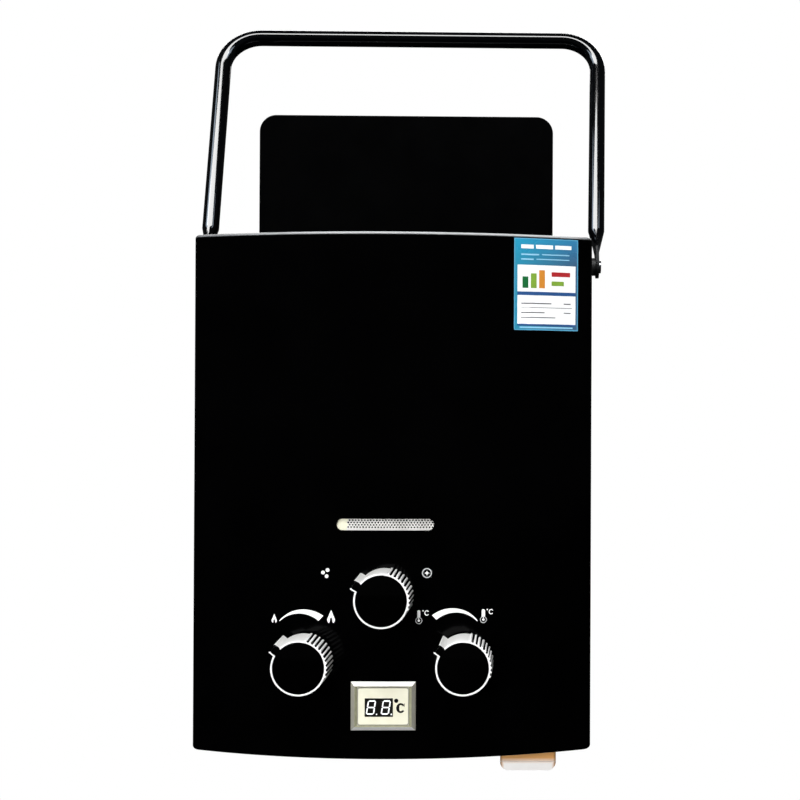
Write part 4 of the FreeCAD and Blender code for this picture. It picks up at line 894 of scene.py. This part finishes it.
def makeBezel():
    # mitred frame: an outer slope, a narrow crest, and an inner slope down to the plate
    low, high = nodeBox("display_bezel")
    panelLow, panelHigh = nodeBox("display_panel")
    b = bezelShape
    room = Vector((b["gap"], 0, b["gap"]))
    opening = (panelLow - room, panelHigh + room)
    front, foot, slopeEnd = low.y, coverLow.y - b["gap"], low.y + b["outerDrop"]
    rings = [
        rectangleRing(*opening, high.y, 0),
        rectangleRing(*opening, front + b["innerDrop"], 0),
        rectangleRing(low, high, front, b["crestIn"] + b["crestWidth"]),
        rectangleRing(low, high, front, b["crestIn"]),
        rectangleRing(low, high, slopeEnd, b["edge"]),
        rectangleRing(low, high, slopeEnd + b["edge"], 0),
        rectangleRing(low, high, foot, 0),
        rectangleRing(*opening, foot, -b["sleeve"]),
        rectangleRing(*opening, high.y, -b["sleeve"]),
        rectangleRing(*opening, high.y, 0)]
    shape = loft(rings, caps=False)
    # top and bottom slopes are silver; the left and right slopes get a darker silver as painted shade, and
    # the inner wall, inner slope and crest an olive painted shade
    silver, sideShade, slopeShade = 0, 1, 2
    for index in range(len(shape["tones"])):
        level, side = divmod(index, 4)           # sides 0 and 2 face down and up
        shape["tones"][index] = slopeShade if level < 3 else silver if side in (0, 2) else sideShade
    addPiece("mitred_bezel", shape, ["silverSkin", "silverShadeAndPlateLine", "oliveSlopeShade"], "casing",
             ["display_bezel"], 20)


digitShape = {
    "count": 2, "stroke": 0.95, "width": 4.93, "height": 9.15, "gap": 0.14, "slantDegrees": 9.0,
    "left": -15.0, "top": -144.86, "pitch": 10.43, "proud": 0.1, "sink": 0.05,
    "pointRight": 2.2, "pointDown": 0.25, "pointRadius": 0.52}


def segmentFace(x0, z0, x1, z1, width, gap):
    # bar with pointed ends between two corners of a digit
    along = Vector((x1 - x0, z1 - z0)).normalized()
    side = Vector((-along.y, along.x)) * width / 2
    start = Vector((x0, z0)) + along * gap
    end = Vector((x1, z1)) - along * gap
    inset = along * width / 2
    return [tuple(p) for p in (start, start + inset - side, end - inset - side, end,
                               end - inset + side, start + inset + side)]


def makeDigits():
    glassY = nodeBox("display_glass")[0].y
    d = digitShape
    lean = math.tan(math.radians(d["slantDegrees"]))
    top, bottom = d["top"], d["top"] - d["height"]
    middle = (top + bottom) / 2
    faces = []
    for index in range(d["count"]):
        left = d["left"] + index * d["pitch"]
        right = left + d["width"]
        lines = [(left, z, right, z) for z in (top, middle, bottom)]
        for x in (left, right):
            lines += [(x, top, x, middle), (x, middle, x, bottom)]
        faces += [segmentFace(*line, d["stroke"], d["gap"]) for line in lines]
        faces.append(circlePoints(right + d["pointRight"], bottom - d["pointDown"], d["pointRadius"], 14))
    groups = [([[(x + (z - bottom) * lean, z) for x, z in face]], 0) for face in faces]
    frontPlate("digit_segments", groups, ["litDigits"], lambda x: glassY, d["proud"],
               d["sink"])


unitMark = {
    "left": 5.95, "top": -146.3, "dot": (5.95, -144.65), "dotRadius": 1.5,
    "letter": {"width": 6.3, "height": 7.0, "light": 1.1, "heavy": 2.2, "level": 1.43,
               "openDegrees": 38, "steps": 28},
    "serifHalf": 1.14, "serifFoot": (-0.3, 0.25), "serifTop": (0.25, -0.1),
    "edgeLine": [(0.02, 1.0), (0.6, 1.4)],           # inset and corner radius of its two sides
    "proud": 0.06, "sink": 0.1}


def roundedOutline(low, high, inset, radius):
    points = []
    for cornerX, cornerZ, start in ((high.x, high.z, 0), (low.x, high.z, 90), (low.x, low.z, 180),
                                    (high.x, low.z, 270)):
        centreX = cornerX + (radius + inset) * (1 if cornerX == low.x else -1)
        centreZ = cornerZ + (radius + inset) * (1 if cornerZ == low.z else -1)
        points += arcPoints(centreX, centreZ, radius, start, start + 90, 6)
    return points


def makeUnitMark():
    # dark degree dot and a letter C with thick and thin strokes, and a line round the plate
    low, high = nodeBox("display_panel")
    u = unitMark
    letter = letterFaces(u["left"], u["top"], u["letter"])
    tipX, tipZ = letter[0][0]
    serif = [(tipX + right, tipZ - u["serifHalf"]) for right in u["serifFoot"]]
    serif += [(tipX + right, tipZ + u["serifHalf"]) for right in u["serifTop"]]
    outer, inner = [roundedOutline(low, high, *line) for line in u["edgeLine"]]
    groups = [(letter, 0), ([serif], 0), ([circlePoints(*u["dot"], u["dotRadius"], 20)], 0),
              (stripFaces(outer, inner, True), 1)]
    frontPlate("unit_mark", groups, ["darkInkAndHoleShade", "silverShadeAndPlateLine"], lambda x: low.y,
               u["proud"], u["sink"])


makeBezel()
makeDigits()
makeUnitMark()
print("display made")


# label: places are measured from its top left corner, right and down

labelDesign = {
    "film": 0.35, "filmSink": -0.1, "panelProud": 0.05, "panelSink": 0.1, "markProud": 0.1,
    "markSink": 0.02, "edgeWidth": 0.7,
    "panels": [(2.4, 19.2, 44.6, 38.4), (2.4, 41.0, 44.6, 61.6)],
    "bands": [(2.4, 38.4, 44.6, 41.0), (2.4, 61.6, 44.6, 63.0)],
    "headBars": [(5.0, 4.6, 14.0, 7.4), (15.6, 4.6, 28.0, 7.4), (29.6, 4.6, 41.5, 7.4)],
    "paleLines": [(5.0, 11.2, 18.0, 12.2), (20.0, 11.2, 40.0, 11.9), (5.0, 14.6, 14.0, 15.6),
                  (16.0, 14.6, 40.0, 15.3), (4.0, 63.6, 42.6, 64.6)],
    "columns": [("labelGreen", 6.0, 27.6), ("labelLime", 12.0, 25.2), ("labelOrange", 18.0, 22.8)],
    "columnWidth": 4.2, "columnFoot": 35.8, "rowHeight": 3.2,
    "rows": [("labelRed", 27.0, 24.0, 40.6), ("labelLime", 27.0, 30.6, 36.0)],
    "greyLines": [(5.0, 46.4, 27.0, 47.2), (36.0, 46.4, 41.0, 47.2), (5.0, 49.6, 42.0, 50.0),
                  (5.0, 53.0, 22.0, 53.7), (36.0, 53.0, 41.0, 53.7), (5.0, 56.6, 30.0, 57.2)]}


def makeLabelPrint():
    low, high = nodeBox("front_label")
    d, tints = labelDesign, list(labelColours)
    width, height, e = high.x - low.x, high.z - low.z, labelDesign["edgeWidth"]

    def printed(tintName, places):
        return [([boxFace(low.x + x0, low.x + x1, high.z - z1, high.z - z0)], tints.index(tintName))
                for x0, z0, x1, z1 in places]

    def onFilm(x):
        return bowY(x) - d["film"]

    border = [(0, 0, e, height), (width - e, 0, width, height), (e, 0, width - e, e),
              (e, height - e, width - e, height)]
    panels = printed("labelPaper", d["panels"]) + printed("labelEdge", border)
    panels += printed("labelNavy", d["bands"]) + printed("labelPaper", d["headBars"])
    panels += printed("labelPale", d["paleLines"])
    marks = []
    for tintName, left, top in d["columns"]:
        marks += printed(tintName, [(left, top, left + d["columnWidth"], d["columnFoot"])])
    for tintName, left, top, right in d["rows"]:
        marks += printed(tintName, [(left, top, right, top + d["rowHeight"])])
    marks += printed("labelGrey", d["greyLines"])
    film = [([boxFace(low.x, high.x, low.z, high.z)], 0)]
    frontPlate("label_film", film, ["labelFilm"], bowY, d["film"], d["filmSink"],
               ["front_label"])
    frontPlate("label_panels", panels, tints, onFilm, d["panelProud"], d["panelSink"])
    frontPlate("label_marks", marks, tints, onFilm, d["markProud"], d["markSink"])


makeLabelPrint()
print("label printed")


# return spring of the gas valve

returnSpring = {"turns": 5, "wireRadius": 0.7, "stepsPerTurn": 32, "wireSides": 10, "travel": 4.0}


def makeReturnSpring():
    # coil round the x axis at rest; its left end is fixed, and the disc is pushed towards it
    low, high = nodeBox("gas_valve_spring")
    k = returnSpring
    wire = k["wireRadius"]
    coil = (high.z - low.z) / 2 - wire
    start, reach = low.x + wire, high.x - low.x - 2 * wire
    steps = k["turns"] * k["stepsPerTurn"]
    sides = [2 * math.pi * side / k["wireSides"] for side in range(k["wireSides"])]
    rings = []
    for i in range(steps + 1):
        turn = 2 * math.pi * i / k["stepsPerTurn"]
        out = Vector((0, math.cos(turn), math.sin(turn)))
        centre = Vector((start + reach * i / steps, (low.y + high.y) / 2, (low.z + high.z) / 2)) + out * coil
        rings.append([centre + (out * math.cos(side) + Vector((math.sin(side), 0, 0))) * wire
                      for side in sides])
    spring = addPiece("coiled_return_spring", loft(rings), ["brushedStainless"], "casing",
                      ["gas_valve_spring"], 50)
    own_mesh(spring)


makeReturnSpring()
print("return spring made")


# camera, light and floor

cameraPlace = {
    "x": 87.5, "y": -999.9, "z": 66.2, "turn": -1.05, "nod": 0.26, "tilt": 0.24,
    "focalPixels": 1226.2, "picture": 800.0, "axisRight": 535.7, "axisDown": 396.7, "sensor": 36.0,
    "clipStart": 0.01, "clipEnd": 100.0}


def makeCamera():
    c = cameraPlace
    data = bpy.data.cameras.new("camera")
    data.sensor_width = c["sensor"]
    data.lens = c["focalPixels"] / c["picture"] * c["sensor"]
    data.shift_x = (c["picture"] / 2 - c["axisRight"]) / c["picture"]
    data.shift_y = (c["axisDown"] - c["picture"] / 2) / c["picture"]
    data.clip_start, data.clip_end = c["clipStart"], c["clipEnd"]
    camera = bpy.data.objects.new("camera", data)
    camera.location = Vector((c["x"], c["y"], c["z"])) * mm
    facing = Matrix.Identity(3)
    for angle, axis in ((c["turn"], "Z"), (c["nod"], "X"), (-c["tilt"], "Y"), (90.0, "X")):
        facing = facing @ Matrix.Rotation(math.radians(angle), 3, axis)
    camera.rotation_euler = facing.to_euler()
    bpy.context.collection.objects.link(camera)
    bpy.context.scene.camera = camera


# turn round the heater, height above level, distance (m), size (m), power (W), tint, what it lights
lights = {
    "archMiddle": (-7, 55, 4.0, (5.2, 0.95), 156, (1.0, 1.0, 1.0), "gloss"),
    "archLeft": (-57, 42, 2.0, (1.1, 0.7), 9, (0.72, 0.85, 1.0), "gloss"),
    "archRight": (40, 42, 2.0, (0.8, 0.7), 6, (0.72, 0.85, 1.0), "gloss"),
    "keyAbove": (-12, 62, 3.0, (1.2, 0.7), 102, (1.0, 1.0, 1.0), "diffuse"),
    "frontFill": (-22, 10, 3.0, (0.7, 0.8), 70, (1.0, 1.0, 1.0), "diffuse"),
    "lowFill": (-8, -26, 3.0, (0.9, 0.8), 74, (1.0, 0.98, 0.95), "diffuse"),
    "topLeft": (-145, 50, 1.6, (0.8, 0.8), 10, (1.0, 0.99, 0.97), "diffuse"),
    "topRight": (145, 50, 1.6, (0.8, 0.8), 10, (1.0, 0.99, 0.97), "diffuse"),
    "backGloss": (178, 30, 3.0, (2.4, 0.8), 24, (1.0, 1.0, 1.0), "gloss")}
lightAim = (0, -0.05, 0.05)


def makeLights():
    for name, (turn, height, distance, size, power, tint, use) in lights.items():
        data = bpy.data.lights.new(name, "AREA")
        data.shape = "RECTANGLE"
        data.size, data.size_y = size
        data.energy = power
        data.color = tint
        a, e = math.radians(turn), math.radians(height)
        away = Vector((math.sin(a) * math.cos(e), -math.cos(a) * math.cos(e), math.sin(e)))
        light = bpy.data.objects.new(name, data)
        light.location = Vector(lightAim) + away * distance
        light.rotation_euler = away.to_track_quat("Z", "Y").to_euler()
        bpy.context.collection.objects.link(light)
        light.visible_camera = False
        light.visible_diffuse = use != "gloss"
        light.visible_glossy = use != "diffuse"


surround = {"white": (1, 1, 1, 1), "dimColour": (0.9, 0.95, 1, 1), "dimStrength": 0.02}
floorShape = {"drop": 250.0, "radius": 6000.0, "sides": 96, "colour": (0.3, 0.3, 0.3, 1), "roughness": 0.9}


def makeSurround():
    # white behind the heater, dim for what it reflects
    world = bpy.data.worlds.new("studio")
    bpy.context.scene.world = world
    world.use_nodes = True
    tree = world.node_tree
    tree.nodes.clear()
    seen = addNode(tree, "Background", [("Color", surround["white"]), ("Strength", 1.0)])
    dim = addNode(tree, "Background", [
        ("Color", surround["dimColour"]), ("Strength", surround["dimStrength"])])
    mix = addNode(tree, "MixShader", [
        (0, addNode(tree, "LightPath")["Is Camera Ray"]), (1, dim[0]), (2, seen[0])])
    addNode(tree, "OutputWorld", [(0, mix[0])])


def makeFloor():
    # plain pale floor, a little below the fittings, that the gloss of the enamel doesn't see
    f = floorShape
    bm = bmesh.new()
    bmesh.ops.create_circle(bm, cap_ends=True, segments=f["sides"], radius=f["radius"] * mm)
    for v in bm.verts:
        v.co.z = cadLow.z - f["drop"] * mm
    mesh = bpy.data.meshes.new("floor")
    bm.to_mesh(mesh)
    bm.free()
    floor = bpy.data.objects.new("floor", mesh)
    bpy.context.collection.objects.link(floor)
    material = bpy.data.materials.new("paleFloor")
    material.use_nodes = True
    tree = material.node_tree
    shader = tree.nodes["Principled BSDF"]
    shader.inputs["Base Color"].default_value = f["colour"]
    shader.inputs["Roughness"].default_value = f["roughness"]
    path = addNode(tree, "LightPath")
    glow, dark = [addNode(tree, "Emission", [("Color", surround["white"]), ("Strength", strength)])[0]
                  for strength in (1.0, 0.0)]
    ribTone = addNode(tree, "MixShader", [(0, path["Is Glossy Ray"]), (1, shader.outputs[0]), (2, dark)])
    mix = addNode(tree, "MixShader", [(0, path["Is Camera Ray"]), (1, ribTone[0]), (2, glow)])
    tree.links.new(mix[0], tree.nodes["Material Output"].inputs[0])
    mesh.materials.append(material)


makeCamera()
makeLights()
makeSurround()
makeFloor()
bpy.context.scene.view_settings.view_transform = "Standard"
print("studio ready")
